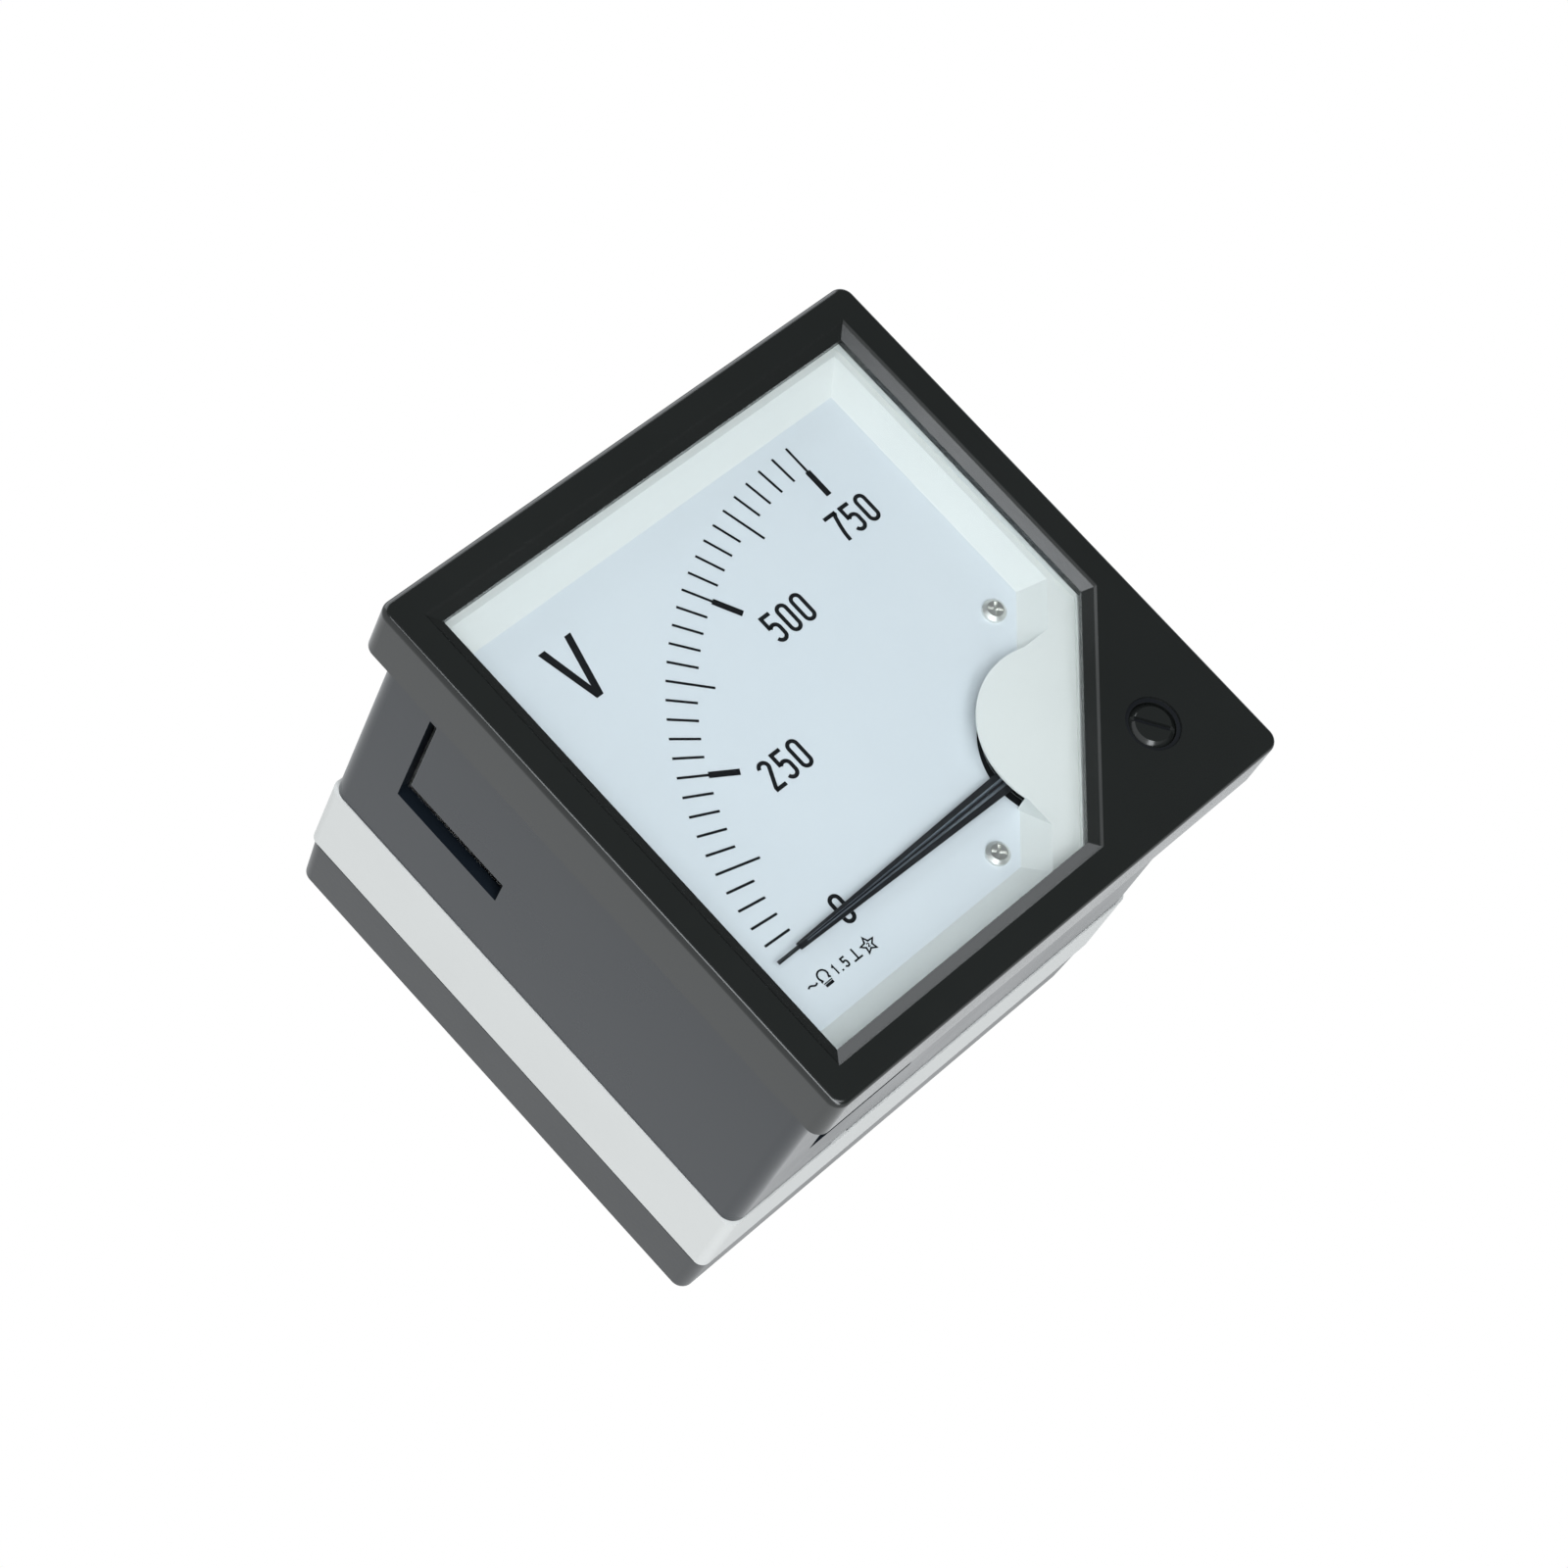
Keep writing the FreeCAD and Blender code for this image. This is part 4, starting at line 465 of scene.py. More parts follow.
@dataclass(frozen=True)
class Ink:
    """Screen printing ink, also laid as black films of painted shade.

    A thin matt film, blue-black like the photograph's print, with the faint mottle of
    ink that dried in the screen's mesh.
    """

    name: str = "print_ink_and_painted_shade"
    colour: str = "#04060a"
    thin_colour: str = "#090d12"
    roughness: float = 0.6
    sheen: float = 0.25
    mesh_mm: float = 0.25

    def material(self) -> bpy.types.Material:
        """Build the ink's nodes.

        Returns:
            The finish as a material.
        """
        material, tree, output = empty_material(self.name)
        place = add_node(tree, "ShaderNodeTexCoord").outputs["Object"]
        mottle = add_node(
            tree, "ShaderNodeTexNoise",
            {"Vector": place, "Scale": pitch(self.mesh_mm), "Detail": 2.0},
        )
        tint = add_node(
            tree, "ShaderNodeMix",
            {
                "Factor": mottle.outputs["Fac"],
                MIX_A: linear(self.colour),
                MIX_B: linear(self.thin_colour),
            },
            data_type="RGBA",
        )
        shader = add_node(
            tree, "ShaderNodeBsdfPrincipled",
            {
                "Base Color": tint.outputs[MIX_RESULT],
                "Roughness": self.roughness,
                "Specular IOR Level": self.sheen,
            },
        )
        tree.links.new(shader.outputs["BSDF"], output.inputs["Surface"])
        return material


# Mesh tools


def new_piece(
    name: str,
    shape: bmesh.types.BMesh,
    material: bpy.types.Material,
    body: str,
) -> bpy.types.Object:
    """Turn a finished bmesh into a piece that rides on a body.

    Args:
        name: Name of the piece.
        shape: Mesh in metres, in the frame's axes. It is freed here.
        material: Finish of the piece.
        body: CAD body that carries it.

    Returns:
        The new object.
    """
    mesh = bpy.data.meshes.new(name)
    bmesh.ops.recalc_face_normals(shape, faces=shape.faces)
    shape.to_mesh(mesh)
    shape.free()
    mesh.materials.append(material)
    piece = bpy.data.objects.new(name, mesh)
    bpy.context.scene.collection.objects.link(piece)
    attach(piece, body)
    LOG.info("%s: %d faces on %s", name, len(mesh.polygons), body)
    return piece


@dataclass
class PrintLayer:
    """A film of ink drawn in millimetres on a face and kept as one mesh: the dial's print, and
    black films of painted shade on the dial and in the adjuster's recesses.
    """

    front: float
    thick_mm: float = 0.03
    shape: bmesh.types.BMesh = field(default_factory=bmesh.new)

    def polygon(self, corners: Sequence[Point]) -> None:
        """Add a flat patch of ink.

        Args:
            corners: x and z of each corner in millimetres, in order around the patch.
        """
        high = self.front - self.thick_mm * MM
        top = [self.shape.verts.new((x * MM, high, z * MM)) for x, z in corners]
        low = [self.shape.verts.new((x * MM, self.front, z * MM)) for x, z in corners]
        self.shape.faces.new(top)
        self.shape.faces.new(list(reversed(low)))
        for number in range(len(corners)):
            after = (number + 1) % len(corners)
            self.shape.faces.new((top[number], low[number], low[after], top[after]))

    def bar(self, start: Point, stop: Point, wide: float) -> None:
        """Add a straight bar of ink.

        Args:
            start: Middle of one end in millimetres.
            stop: Middle of the other end.
            wide: Width of the bar.
        """
        run = Vector(stop) - Vector(start)
        side = Vector((-run.y, run.x)).normalized() * wide / 2
        near, far = Vector(start), Vector(stop)
        corners = [near + side, near - side, far - side, far + side]
        self.polygon([(corner.x, corner.y) for corner in corners])

    def ribbon(self, path: Sequence[Point], wide: float, closed: bool = False) -> None:
        """Add a line of ink of even width along a path.

        Args:
            path: Points of the middle line in millimetres.
            wide: Width of the line.
            closed: Whether the end joins the start.
        """
        points = [Vector(point) for point in path]
        count = len(points)
        left: List[Vector] = []
        right: List[Vector] = []
        for number, point in enumerate(points):
            before = points[number - 1] if number or closed else None
            after = points[(number + 1) % count] if number < count - 1 or closed else None
            ways = []
            if before is not None:
                ways.append((point - before).normalized())
            if after is not None:
                ways.append((after - point).normalized())
            along = sum(ways, Vector((0.0, 0.0))).normalized()
            side = Vector((-along.y, along.x))
            stretch = 1.0 / max(MITRE_LIMIT, along.dot(ways[0]))
            left.append(point + side * wide / 2 * stretch)
            right.append(point - side * wide / 2 * stretch)
        high = self.front - self.thick_mm * MM
        rows = []
        for one, other in zip(left, right):
            rows.append([
                self.shape.verts.new((one.x * MM, high, one.y * MM)),
                self.shape.verts.new((other.x * MM, high, other.y * MM)),
                self.shape.verts.new((other.x * MM, self.front, other.y * MM)),
                self.shape.verts.new((one.x * MM, self.front, one.y * MM)),
            ])
        spans = list(zip(rows, rows[1:])) + ([(rows[-1], rows[0])] if closed else [])
        for row, following in spans:
            for number in range(len(row)):
                after = (number + 1) % len(row)
                corners = (row[number], row[after], following[after], following[number])
                self.shape.faces.new(corners)
        if not closed:
            self.shape.faces.new(rows[0])
            self.shape.faces.new(list(reversed(rows[-1])))


def arc(centre: Point, radius: float, start: float, sweep: float, steps: int = 14) -> List[Point]:
    """Points along part of a circle.

    Args:
        centre: Middle of the circle.
        radius: Its radius.
        start: Angle of the first point in degrees, 0 to the right and 90 upwards.
        sweep: Angle that the arc covers, negative for clockwise.
        steps: Number of spans.

    Returns:
        The points in order.
    """
    points = []
    for step in range(steps + 1):
        angle = math.radians(start + sweep * step / steps)
        across = centre[0] + radius * math.cos(angle)
        up = centre[1] + radius * math.sin(angle)
        points.append((across, up))
    return points


# Dial


class Tick(Enum):
    """Kinds of scale division, by how many of the smallest divisions they mark."""

    THIN = 1
    LONG = 5
    MAJOR = 10


@dataclass(frozen=True)
class Lettering:
    """Size of condensed digits, measured along the middle of their strokes, in millimetres."""

    wide: float
    tall: float
    stroke: float
    pitch: float

    def paths(self, digit: str) -> List[Tuple[List[Point], bool]]:
        """Strokes of one digit around its centre, in shares of its half width and half height.

        Args:
            digit: The digit.

        Returns:
            The middle line of each stroke and whether it is closed.
        """
        half = self.wide / 2
        rise = self.tall / 2
        if digit == "0":
            ring = arc((0.0, rise - half), half, 0.0, 180.0)
            ring += arc((0.0, half - rise), half, 180.0, 180.0)
            return [(ring, True)]
        if digit == "1":
            return [([(-half * 0.8, rise * 0.55), (0.0, rise * 0.95), (0.0, -rise * 1.1)], False)]
        if digit == "2":
            hook = arc((0.0, rise - half), half, 172.0, -200.0)
            return [
                (hook + [(-half * 1.05, -rise * 0.93)], False),
                ([(-half * 1.32, -rise), (half * 1.3, -rise)], False),
            ]
        if digit == "5":
            waist = rise * 0.22
            flag = [(half * 1.2, rise), (-half * 0.95, rise), (-half * 0.95, waist - half * 0.5)]
            bowl = arc((0.0, waist - half), half, 150.0, -150.0)
            bowl += arc((0.0, half - rise), half, 0.0, -168.0)
            return [(flag, False), (bowl, False)]
        if digit == "7":
            leg = [(half * 1.35, rise), (half * 0.85, rise * 0.72), (half * 0.3, 0.0)]
            leg += [(0.0, -rise * 0.55), (-half * 0.12, -rise * 1.13)]
            return [([(-half * 1.5, rise), (half * 1.5, rise)], False), (leg, False)]
        raise ValueError(digit)

    def row(self, layer: PrintLayer, text: str, centre: Point) -> None:
        """Print digits side by side.

        Args:
            layer: Ink to print with.
            text: The digits.
            centre: Middle of the row.
        """
        start = centre[0] - self.pitch * (len(text) - 1) / 2
        for place, digit in enumerate(text):
            for path, closed in self.paths(digit):
                moved = [(x + start + place * self.pitch, z + centre[1]) for x, z in path]
                layer.ribbon(moved, self.stroke, closed)


@dataclass(frozen=True)
class SymbolRow:
    """Signs for current, movement, accuracy, mounting and test voltage, in millimetres."""

    stroke: float = 0.24
    wave_start: Point = (-28.15, -25.9)
    wave_long: float = 1.44
    wave_high: float = 0.16
    wave_steps: int = 12
    arch_middle: Point = (-25.52, -25.68)
    arch_radius: float = 0.72
    arch_span: Point = (190.0, -200.0)
    left_foot: Stroke = ((-26.3, -26.32), (-26.05, -26.22))
    right_foot: Stroke = ((-25.0, -26.22), (-24.75, -26.32))
    thin_bar: Stroke = ((-26.2, -26.62), (-24.85, -26.62))
    thin_share: float = 0.6
    thick_bar: Stroke = ((-26.15, -26.95), (-24.9, -26.95))
    thick_share: float = 1.6
    digits: Lettering = Lettering(wide=0.56, tall=1.26, stroke=0.24, pitch=0.97)
    whole: Point = (-23.72, -26.05)
    point: Stroke = ((-23.1, -26.7), (-22.86, -26.7))
    tenth: Point = (-22.08, -26.08)
    stem: Stroke = ((-20.4, -25.3), (-20.4, -26.8))
    foot: Stroke = ((-21.1, -26.8), (-19.7, -26.8))
    star: Point = (-18.2, -26.25)
    star_points: int = 5
    star_radius: float = 1.08
    notch_radius: float = 0.5
    tiny: Lettering = Lettering(wide=0.26, tall=0.46, stroke=0.13, pitch=0.4)

    def build(self, layer: PrintLayer) -> None:
        """Print the signs from left to right.

        Args:
            layer: Ink to print with.
        """
        self.current_sign(layer)
        self.movement_sign(layer)
        self.digits.row(layer, "1", self.whole)
        layer.bar(*self.point, self.stroke)
        self.digits.row(layer, "5", self.tenth)
        layer.bar(*self.stem, self.stroke)
        layer.bar(*self.foot, self.stroke)
        self.test_star(layer)

    def current_sign(self, layer: PrintLayer) -> None:
        """Print one wave, for alternating current.

        Args:
            layer: Ink to print with.
        """
        wave = []
        for step in range(self.wave_steps + 1):
            share = step / self.wave_steps
            across = self.wave_start[0] + self.wave_long * share
            up = self.wave_start[1] + self.wave_high * math.sin(math.tau * share)
            wave.append((across, up))
        layer.ribbon(wave, self.stroke)

    def movement_sign(self, layer: PrintLayer) -> None:
        """Print an arch on two feet over a thin and a thick bar.

        Args:
            layer: Ink to print with.
        """
        bow = arc(self.arch_middle, self.arch_radius, *self.arch_span)
        layer.ribbon([*self.left_foot, *bow, *self.right_foot], self.stroke)
        layer.bar(*self.thin_bar, self.stroke * self.thin_share)
        layer.bar(*self.thick_bar, self.stroke * self.thick_share)

    def test_star(self, layer: PrintLayer) -> None:
        """Print a star with the test voltage inside.

        Args:
            layer: Ink to print with.
        """
        count = self.star_points
        points = arc(self.star, self.star_radius, 90.0, -360.0, count)[:-1]
        notches = arc(self.star, self.notch_radius, 90.0 - 180.0 / count, -360.0, count)[:-1]
        star = [spot for pair in zip(points, notches) for spot in pair]
        layer.ribbon(star, self.stroke, closed=True)
        self.tiny.row(layer, "2", self.star)


@dataclass
class DialPrintAndShade:
    """Print on the dial: divisions, numbers, the unit and the signs, and a black sickle of painted
    shade beside the movement cover, in millimetres.
    """

    pivot: Point = (21.36, -21.34)
    divisions: int = 30
    sweep: float = 90.0
    outer_radius: float = 50.02
    thin_radius: float = 46.0
    long_radius: float = 43.8
    major_radius: float = 41.95
    thin_wide: float = 0.34
    major_wide: float = 0.84
    large: Lettering = Lettering(wide=1.36, tall=3.76, stroke=0.54, pitch=2.49)
    labels: Tuple[Tuple[str, Point], ...] = (
        ("750", (21.64, 16.49)),
        ("500", (4.78, 11.21)),
        ("250", (-9.74, -2.98)),
        ("0", (-17.5, -20.93)),
    )
    volt_sign: Tuple[Point, ...] = (
        (-24.52, 25.8), (-23.42, 25.8), (-21.96, 19.0), (-20.12, 25.8),
        (-19.1, 25.8), (-21.42, 17.3), (-22.5, 17.3),
    )
    symbols: SymbolRow = SymbolRow()
    axle: Point = (21.15, -21.46)
    # Painted shade: a black sickle of ink where the pointer's slot opens beside the movement cover
    cutout_shade_inner: float = 10.35
    cutout_shade_outer: float = 11.35
    cutout_shade_span: Point = (121.0, 76.0)
    cutout_shade_taper: float = 0.75
    cutout_shade_steps: int = 32

    def build(self) -> bpy.types.Object:
        """Print everything on the front of the dial plate, and the black sickle of painted shade
        beside the movement cover.

        Returns:
            The print as one piece.
        """
        layer = PrintLayer(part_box("dial_plate")[0].y)
        self.scale(layer)
        for text, centre in self.labels:
            self.large.row(layer, text, centre)
        layer.polygon(self.volt_sign)
        self.symbols.build(layer)
        # Painted shade beside the movement cover, in the same ink as the print
        self.paint_cutout_shade(layer)
        return new_piece("dial_print_and_painted_shade", layer.shape, Ink().material(), "housing")

    def spot(self, radius: float, angle: float) -> Point:
        """Point of the scale.

        Args:
            radius: Distance from the pivot.
            angle: Angle in degrees, 0 to the left and 90 upwards.

        Returns:
            x and z of the point.
        """
        turn = math.radians(angle)
        across = self.pivot[0] - radius * math.cos(turn)
        up = self.pivot[1] + radius * math.sin(turn)
        return (across, up)

    def kind(self, number: int) -> Tick:
        """Kind of a division.

        Args:
            number: Its number, from 0 at the scale's start.

        Returns:
            How the division is drawn.
        """
        if number % Tick.MAJOR.value == 0:
            return Tick.MAJOR
        return Tick.LONG if number % Tick.LONG.value == 0 else Tick.THIN

    def scale(self, layer: PrintLayer) -> None:
        """Print the divisions.

        Args:
            layer: Ink to print with.
        """
        for number in range(self.divisions + 1):
            angle = self.sweep * number / self.divisions
            kind = self.kind(number)
            inner = self.long_radius if kind is Tick.LONG else self.thin_radius
            end = self.spot(inner, angle)
            layer.bar(self.spot(self.outer_radius, angle), end, self.thin_wide)
            if kind is Tick.MAJOR:
                layer.bar(end, self.spot(self.major_radius, angle), self.major_wide)

    def paint_cutout_shade(self, layer: PrintLayer) -> None:
        """Lay painted shade: a black sickle of ink on the rim of the dial's cut-out, where the
        pointer's slot opens onto the dark inside of the movement.

        Args:
            layer: Ink to print with.
        """
        start, sweep = self.cutout_shade_span
        steps = self.cutout_shade_steps
        inner = arc(self.axle, self.cutout_shade_inner, start, sweep, steps)
        outer = []
        for step in range(1, steps + 1):
            grown = min(1.0, step / steps / self.cutout_shade_taper)
            radius = self.cutout_shade_inner + (self.cutout_shade_outer - self.cutout_shade_inner) * grown
            outer += arc(self.axle, radius, start + sweep * step / steps, 0.0, 1)[:1]
        layer.polygon(inner + outer[::-1])


# Adjuster, pointer and terminals


@dataclass
class AdjusterShade:
    """Painted shade in the driver slot and in the ring around the adjuster: matt black films on
    their floors, in millimetres.
    """

    middle: Point = (27.9, -28.3)
    ring_floor: float = -8.55
    ring_inner: float = 3.15
    ring_outer: float = 3.66
    slot_floor: float = -8.35
    slot_wide: float = 0.66
    slot_long: float = 4.7
    slot_angle: float = -53.0
    steps: int = 48
    # Matt black ink that paints the shade in both recesses
    finish: Ink = Ink(name="painted_recess_shade")

    def build(self) -> None:
        """Lay the painted shade: the black ring on the bezel and the black bar in the slot."""
        material = self.finish.material()
        ring = PrintLayer(self.ring_floor * MM)
        radius = (self.ring_inner + self.ring_outer) / 2
        circle = arc(self.middle, radius, 0.0, 360.0, self.steps)[:-1]
        ring.ribbon(circle, self.ring_outer - self.ring_inner, closed=True)
        new_piece("adjuster_ring_shade", ring.shape, material, "housing")
        bar = PrintLayer(self.slot_floor * MM)
        start, stop = arc(self.middle, self.slot_long / 2, self.slot_angle, 180.0, 1)
        bar.bar(start, stop, self.slot_wide)
        new_piece("adjuster_slot_shade", bar.shape, material, "zero_adjuster")


@dataclass
class PointerFold:
    """Two raised folds side by side along the pointer's blade, in millimetres. Their pale metal is
    far lighter than the pointer's black paint and partly paints the blade's light streaks as
    highlight.
    """

    axle: Point = (21.15, -21.46)
    tip: Point = (-29.5, -21.46)
    start: float = 10.6
    stop: float = 46.0
    start_wide: float = 0.58
    stop_wide: float = 0.19
    start_lane: float = 0.31
    stop_lane: float = 0.1
    high: float = 0.1
    sunk: float = 0.2
    # Pale grey metal: the folds catch the lamps, and their pale colour is partly painted highlight
    finish: Metal = Metal(
        "pale_fold_metal_painted_highlight", "#9aa1a9", "#868d95",
        roughness=0.45, mark_mm=0.2, mark_height_mm=0.001,
    )

    def build(self) -> bpy.types.Object:
        """Lay a fold on each side of the blade's ridge.

        Returns:
            Both folds as one piece.
        """
        shape = bmesh.new()
        for hand in (-1.0, 1.0):
            self.fold(shape, hand)
        return new_piece("pointer_fold", shape, self.finish.material(), "movement")

    def fold(self, shape: bmesh.types.BMesh, hand: float) -> None:
        """Add one fold.

        Args:
            shape: Mesh to add to.
            hand: Side of the ridge, -1 or 1.
        """
        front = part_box("pointer")[0].y
        low = front + self.sunk * MM
        top = front - self.high * MM
        run = (Vector(self.tip) - Vector(self.axle)).normalized()
        side = Vector((-run.y, run.x))
        ends = []
        for reach, wide, lane in (
            (self.start, self.start_wide, self.start_lane),
            (self.stop, self.stop_wide, self.stop_lane),
        ):
            middle = Vector(self.axle) + run * reach + side * lane * hand
            one = middle + side * wide / 2
            other = middle - side * wide / 2
            ends.append([
                shape.verts.new((one.x * MM, low, one.y * MM)),
                shape.verts.new((middle.x * MM, top, middle.y * MM)),
                shape.verts.new((other.x * MM, low, other.y * MM)),
            ])
        near, far = ends
        for number in range(len(near)):
            after = (number + 1) % len(near)
            shape.faces.new((near[number], near[after], far[after], far[number]))
        shape.faces.new(near)
        shape.faces.new(list(reversed(far)))


@dataclass
class ThreadedStuds:
    """Terminal studs with rolled M4 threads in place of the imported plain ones, in millimetres."""

    places: Tuple[float, ...] = (-18.0, 18.0)
    head: Tuple[float, float] = (57.4, 60.0)
    head_radius: float = 4.0
    neck_radius: float = 1.6
    thread: Tuple[float, float] = (67.9, 75.1)
    crest: float = 2.0
    root: float = 1.62
    lead: float = 0.6
    pitch: float = 0.7
    columns: int = 32
    spare_rows: int = 3
    weld: float = 0.002

    def build(self, finish: bpy.types.Material) -> bpy.types.Object:
        """Turn both studs.

        Args:
            finish: Metal of the studs.

        Returns:
            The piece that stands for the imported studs.
        """
        shape = bmesh.new()
        for place in self.places:
            neck = (self.head[1], self.thread[0])
            self.prism(shape, place, self.head_radius, self.head, HEXAGON)
            self.prism(shape, place, self.neck_radius, neck, self.columns)
            self.helix(shape, place)
        piece = new_piece("threaded_studs", shape, finish, "housing")
        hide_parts("terminal_studs")
        return piece

    def prism(
        self,
        shape: bmesh.types.BMesh,
        place: float,
        radius: float,
        span: Tuple[float, float],
        sides: int,
    ) -> None:
        """Add an upright prism around a stud's axis.

        Args:
            shape: Mesh to add to.
            place: x of the axis.
            radius: Corner radius.
            span: Depths of both ends.
            sides: Number of sides.
        """
        rings = []
        for depth in span:
            corners = arc((place, 0.0), radius, 0.0, 360.0, sides)[:-1]
            rings.append([shape.verts.new((x * MM, depth * MM, z * MM)) for x, z in corners])
        low, high = rings
        for number in range(sides):
            after = (number + 1) % sides
            shape.faces.new((low[number], low[after], high[after], high[number]))
        shape.faces.new(low)
        shape.faces.new(list(reversed(high)))

    def radius_at(self, depth: float, crest: bool) -> float:
        """Radius of the thread, which runs out at both ends.

        Args:
            depth: Place along the stud.
            crest: Whether the place lies on the thread's crest or in its root.

        Returns:
            The radius.
        """
        if not crest:
            return self.root
        start, stop = self.thread
        rise = min(1.0, (depth - start) / self.lead, (stop - depth) / self.lead)
        return self.root + (self.crest - self.root) * max(0.0, rise)

    def helix(self, shape: bmesh.types.BMesh, place: float) -> None:
        """Add the threaded end of one stud as one winding surface.

        Args:
            shape: Mesh to add to.
            place: x of the axis.
        """
        start, stop = self.thread
        part = bmesh.new()
        rows = []
        last = int((stop - start) / self.pitch * 2) + self.spare_rows
        for row in range(-self.spare_rows, last + 1):
            ring = []
            for column in range(self.columns + 1):
                turn = column / self.columns
                depth = min(stop, max(start, start + (row / 2 + turn) * self.pitch))
                radius = self.radius_at(depth, row % 2 == 1)
                angle = math.tau * turn
                x = place + radius * math.cos(angle)
                z = radius * math.sin(angle)
                ring.append(part.verts.new((x * MM, depth * MM, z * MM)))
            rows.append(ring)
        for lower, upper in zip(rows, rows[1:]):
            for column in range(self.columns):
                after = column + 1
                part.faces.new((lower[column], lower[after], upper[after], upper[column]))
        bmesh.ops.remove_doubles(part, verts=part.verts, dist=self.weld * MM)
        bmesh.ops.dissolve_degenerate(part, edges=part.edges, dist=self.weld * MM)
        bmesh.ops.holes_fill(part, edges=part.edges, sides=0)
        mesh = bpy.data.meshes.new("thread")
        part.to_mesh(mesh)
        part.free()
        shape.from_mesh(mesh)
        bpy.data.meshes.remove(mesh)


# Studio


@dataclass
class PhotoCamera:
    """Camera at the photograph's viewing angle, in metres and degrees."""

    place: Tuple[float, float, float] = (-0.26153, -0.43511, -0.08358)
    azimuth: float = -29.949
    elevation: float = -8.947
    roll: float = -42.905
    focal_px: float = 4318.0
    image_px: float = 1600.0
    sensor_mm: float = 36.0

    def build(self) -> bpy.types.Object:
        """Make the scene's camera.

        Returns:
            The camera.
        """
        turn = math.radians(self.azimuth)
        rise = math.radians(self.elevation)
        forward = -Vector((
            math.sin(turn) * math.cos(rise),
            -math.cos(turn) * math.cos(rise),
            math.sin(rise),
        ))
        level = forward.cross(Vector((0.0, 0.0, 1.0))).normalized()
        upright = level.cross(forward)
        lean = math.radians(self.roll)
        right = level * math.cos(lean) + upright * math.sin(lean)
        up = right.cross(forward)
        camera = bpy.data.cameras.new("photo_camera")
        camera.sensor_width = self.sensor_mm
        camera.lens = self.focal_px / self.image_px * self.sensor_mm
        viewer = bpy.data.objects.new("photo_camera", camera)
        turned = Matrix((right, up, -forward)).transposed().to_4x4()
        viewer.matrix_world = Matrix.Translation(self.place) @ turned
        bpy.context.scene.collection.objects.link(viewer)
        bpy.context.scene.camera = viewer
        LOG.info("camera: lens %.1f mm", camera.lens)
        return viewer


@dataclass(frozen=True)
class Lamp:
    """A soft box that looks at the meter, with its place, length axis and size in metres."""

    name: str
    place: Tuple[float, float, float]
    along: Tuple[float, float, float]
    wide: float
    long: float
    radiance: float
    colour: str = "#f6fafe"

    def build(self) -> None:
        """Hang the soft box."""
        light = bpy.data.lights.new(self.name, "AREA")
        light.shape = "RECTANGLE"
        light.size = self.wide
        light.size_y = self.long
        light.color = linear(self.colour)[:3]
        light.energy = self.radiance * WATTS * self.wide * self.long
        box = bpy.data.objects.new(self.name, light)
        away = Vector(self.place).normalized()
        across = Vector(self.along).cross(away).normalized()
        turned = Matrix((across, away.cross(across), away)).transposed().to_4x4()
        box.matrix_world = Matrix.Translation(self.place) @ turned
        bpy.context.scene.collection.objects.link(box)
        LOG.info("%s: %.1f W", self.name, light.energy)


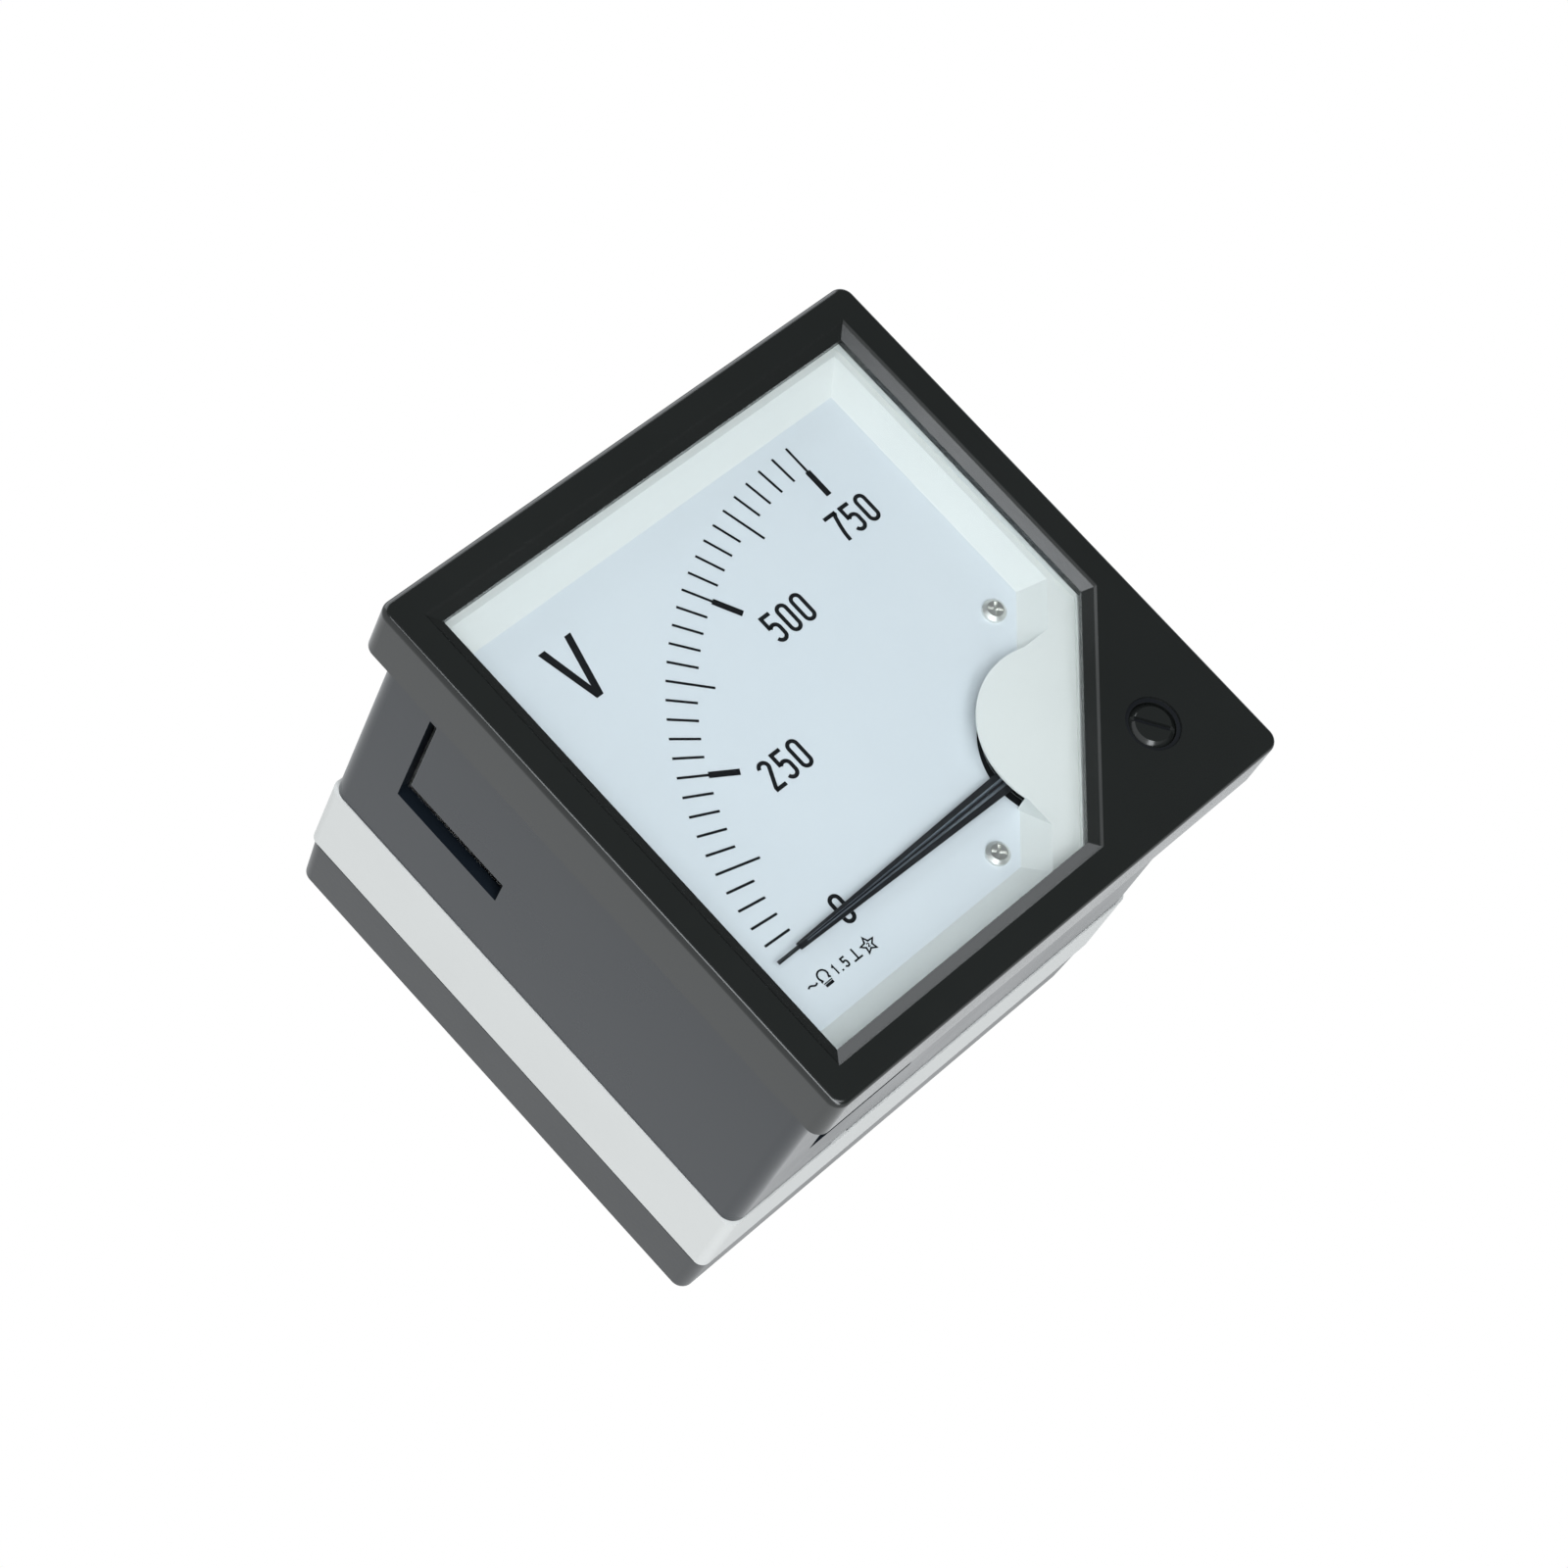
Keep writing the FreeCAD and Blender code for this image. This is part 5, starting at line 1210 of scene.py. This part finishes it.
@dataclass
class Studio:
    """White sweep behind the meter, a dim room in front, three soft boxes and a pale floor."""

    bright: float = 0.97
    dim: float = 0.1
    dim_side: Tuple[float, float, float] = (0.5, -0.86, -0.1)
    fade: Tuple[float, float] = (0.15, 0.58)
    light_colour: str = "#fafdff"
    floor_colour: str = "#f2f2f0"
    floor_wide: float = 3.0
    lamps: Tuple[Lamp, ...] = (
        Lamp("key_box", (-0.408, -0.733, -0.326), (0.097, -0.449, 0.888), 0.3, 1.4, 6.0),
        Lamp("front_box", (-0.11, -0.84, -0.32), (1.0, 0.0, 0.0), 0.45, 0.55, 3.5),
        Lamp("top_box", (0.25, -0.35, 0.9), (0.0, 1.0, 0.0), 0.9, 0.9, 2.0),
    )

    def build(self) -> None:
        """Set up the room, the lights and the floor."""
        self.room()
        for lamp in self.lamps:
            lamp.build()
        self.floor()
        bpy.context.scene.view_settings.view_transform = "Standard"

    def room(self) -> None:
        """White to the eye all round; as light, white behind and above and dim in front."""
        world = bpy.data.worlds.new("white_sweep")
        world.use_nodes = True
        tree = world.node_tree
        tree.nodes.clear()
        way = add_node(tree, "ShaderNodeTexCoord").outputs["Generated"]
        depth = add_node(
            tree, "ShaderNodeVectorMath",
            {0: way, 1: self.dim_side},
            operation="DOT_PRODUCT",
        )
        light = add_node(
            tree, "ShaderNodeMapRange",
            {
                "Value": depth.outputs["Value"],
                "From Min": self.fade[0],
                "From Max": self.fade[1],
                "To Min": self.bright,
                "To Max": self.dim,
            },
            interpolation_type="SMOOTHSTEP",
        )
        seen = add_node(tree, "ShaderNodeLightPath").outputs["Is Camera Ray"]
        strength = add_node(
            tree, "ShaderNodeMix",
            {"Factor": seen, "A": light.outputs["Result"], "B": 1.0},
            data_type="FLOAT",
        )
        tint = add_node(
            tree, "ShaderNodeMix",
            {"Factor": seen, MIX_A: linear(self.light_colour), MIX_B: linear("#ffffff")},
            data_type="RGBA",
        )
        glow = add_node(
            tree, "ShaderNodeBackground",
            {"Color": tint.outputs[MIX_RESULT], "Strength": strength.outputs["Result"]},
        )
        output = add_node(tree, "ShaderNodeOutputWorld")
        tree.links.new(glow.outputs["Background"], output.inputs["Surface"])
        bpy.context.scene.world = world

    def floor(self) -> None:
        """Pale floor under the meter, clear from beneath so that a low camera sees the room."""
        material, tree, output = empty_material("pale_studio_floor")
        paint = add_node(tree, "ShaderNodeBsdfDiffuse", {"Color": linear(self.floor_colour)})
        clear = add_node(tree, "ShaderNodeBsdfTransparent")
        beneath = add_node(tree, "ShaderNodeNewGeometry").outputs["Backfacing"]
        surface = add_node(
            tree, "ShaderNodeMixShader",
            {0: beneath, 1: paint.outputs["BSDF"], 2: clear.outputs["BSDF"]},
        )
        tree.links.new(surface.outputs["Shader"], output.inputs["Surface"])
        half = self.floor_wide / 2
        low = CAD_BOX[0][2]
        shape = bmesh.new()
        corners = ((-half, -half), (half, -half), (half, half), (-half, half))
        shape.faces.new([shape.verts.new((x, y, low)) for x, y in corners])
        mesh = bpy.data.meshes.new("studio_floor")
        shape.to_mesh(mesh)
        shape.free()
        mesh.materials.append(material)
        floor = bpy.data.objects.new("studio_floor", mesh)
        floor.visible_diffuse = False
        floor.visible_glossy = False
        floor.visible_shadow = False
        bpy.context.scene.collection.objects.link(floor)


def dress_solids() -> Dict[str, bpy.types.Material]:
    """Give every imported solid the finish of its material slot.

    Returns:
        The finishes by slot.
    """
    materials = {slot: finish.material() for slot, finish in FINISHES.items()}
    for entry in frame["record"]["subparts"]:
        solid = frame["nodes"][entry["node"]]
        finish = materials[entry["material_slot"]]
        solid.data.materials.clear()
        solid.data.materials.append(finish)
        LOG.info("%s: %s", entry["node"], finish.name)
    return materials


def main() -> None:
    """Dress the solids, add the print, shades, folds and threads, and set up the studio."""
    materials = dress_solids()
    DialPrintAndShade().build()
    AdjusterShade().build()
    PointerFold().build()
    ThreadedStuds().build(materials["brass"])
    Studio().build()
    PhotoCamera().build()


if __name__ == "__main__":
    main()
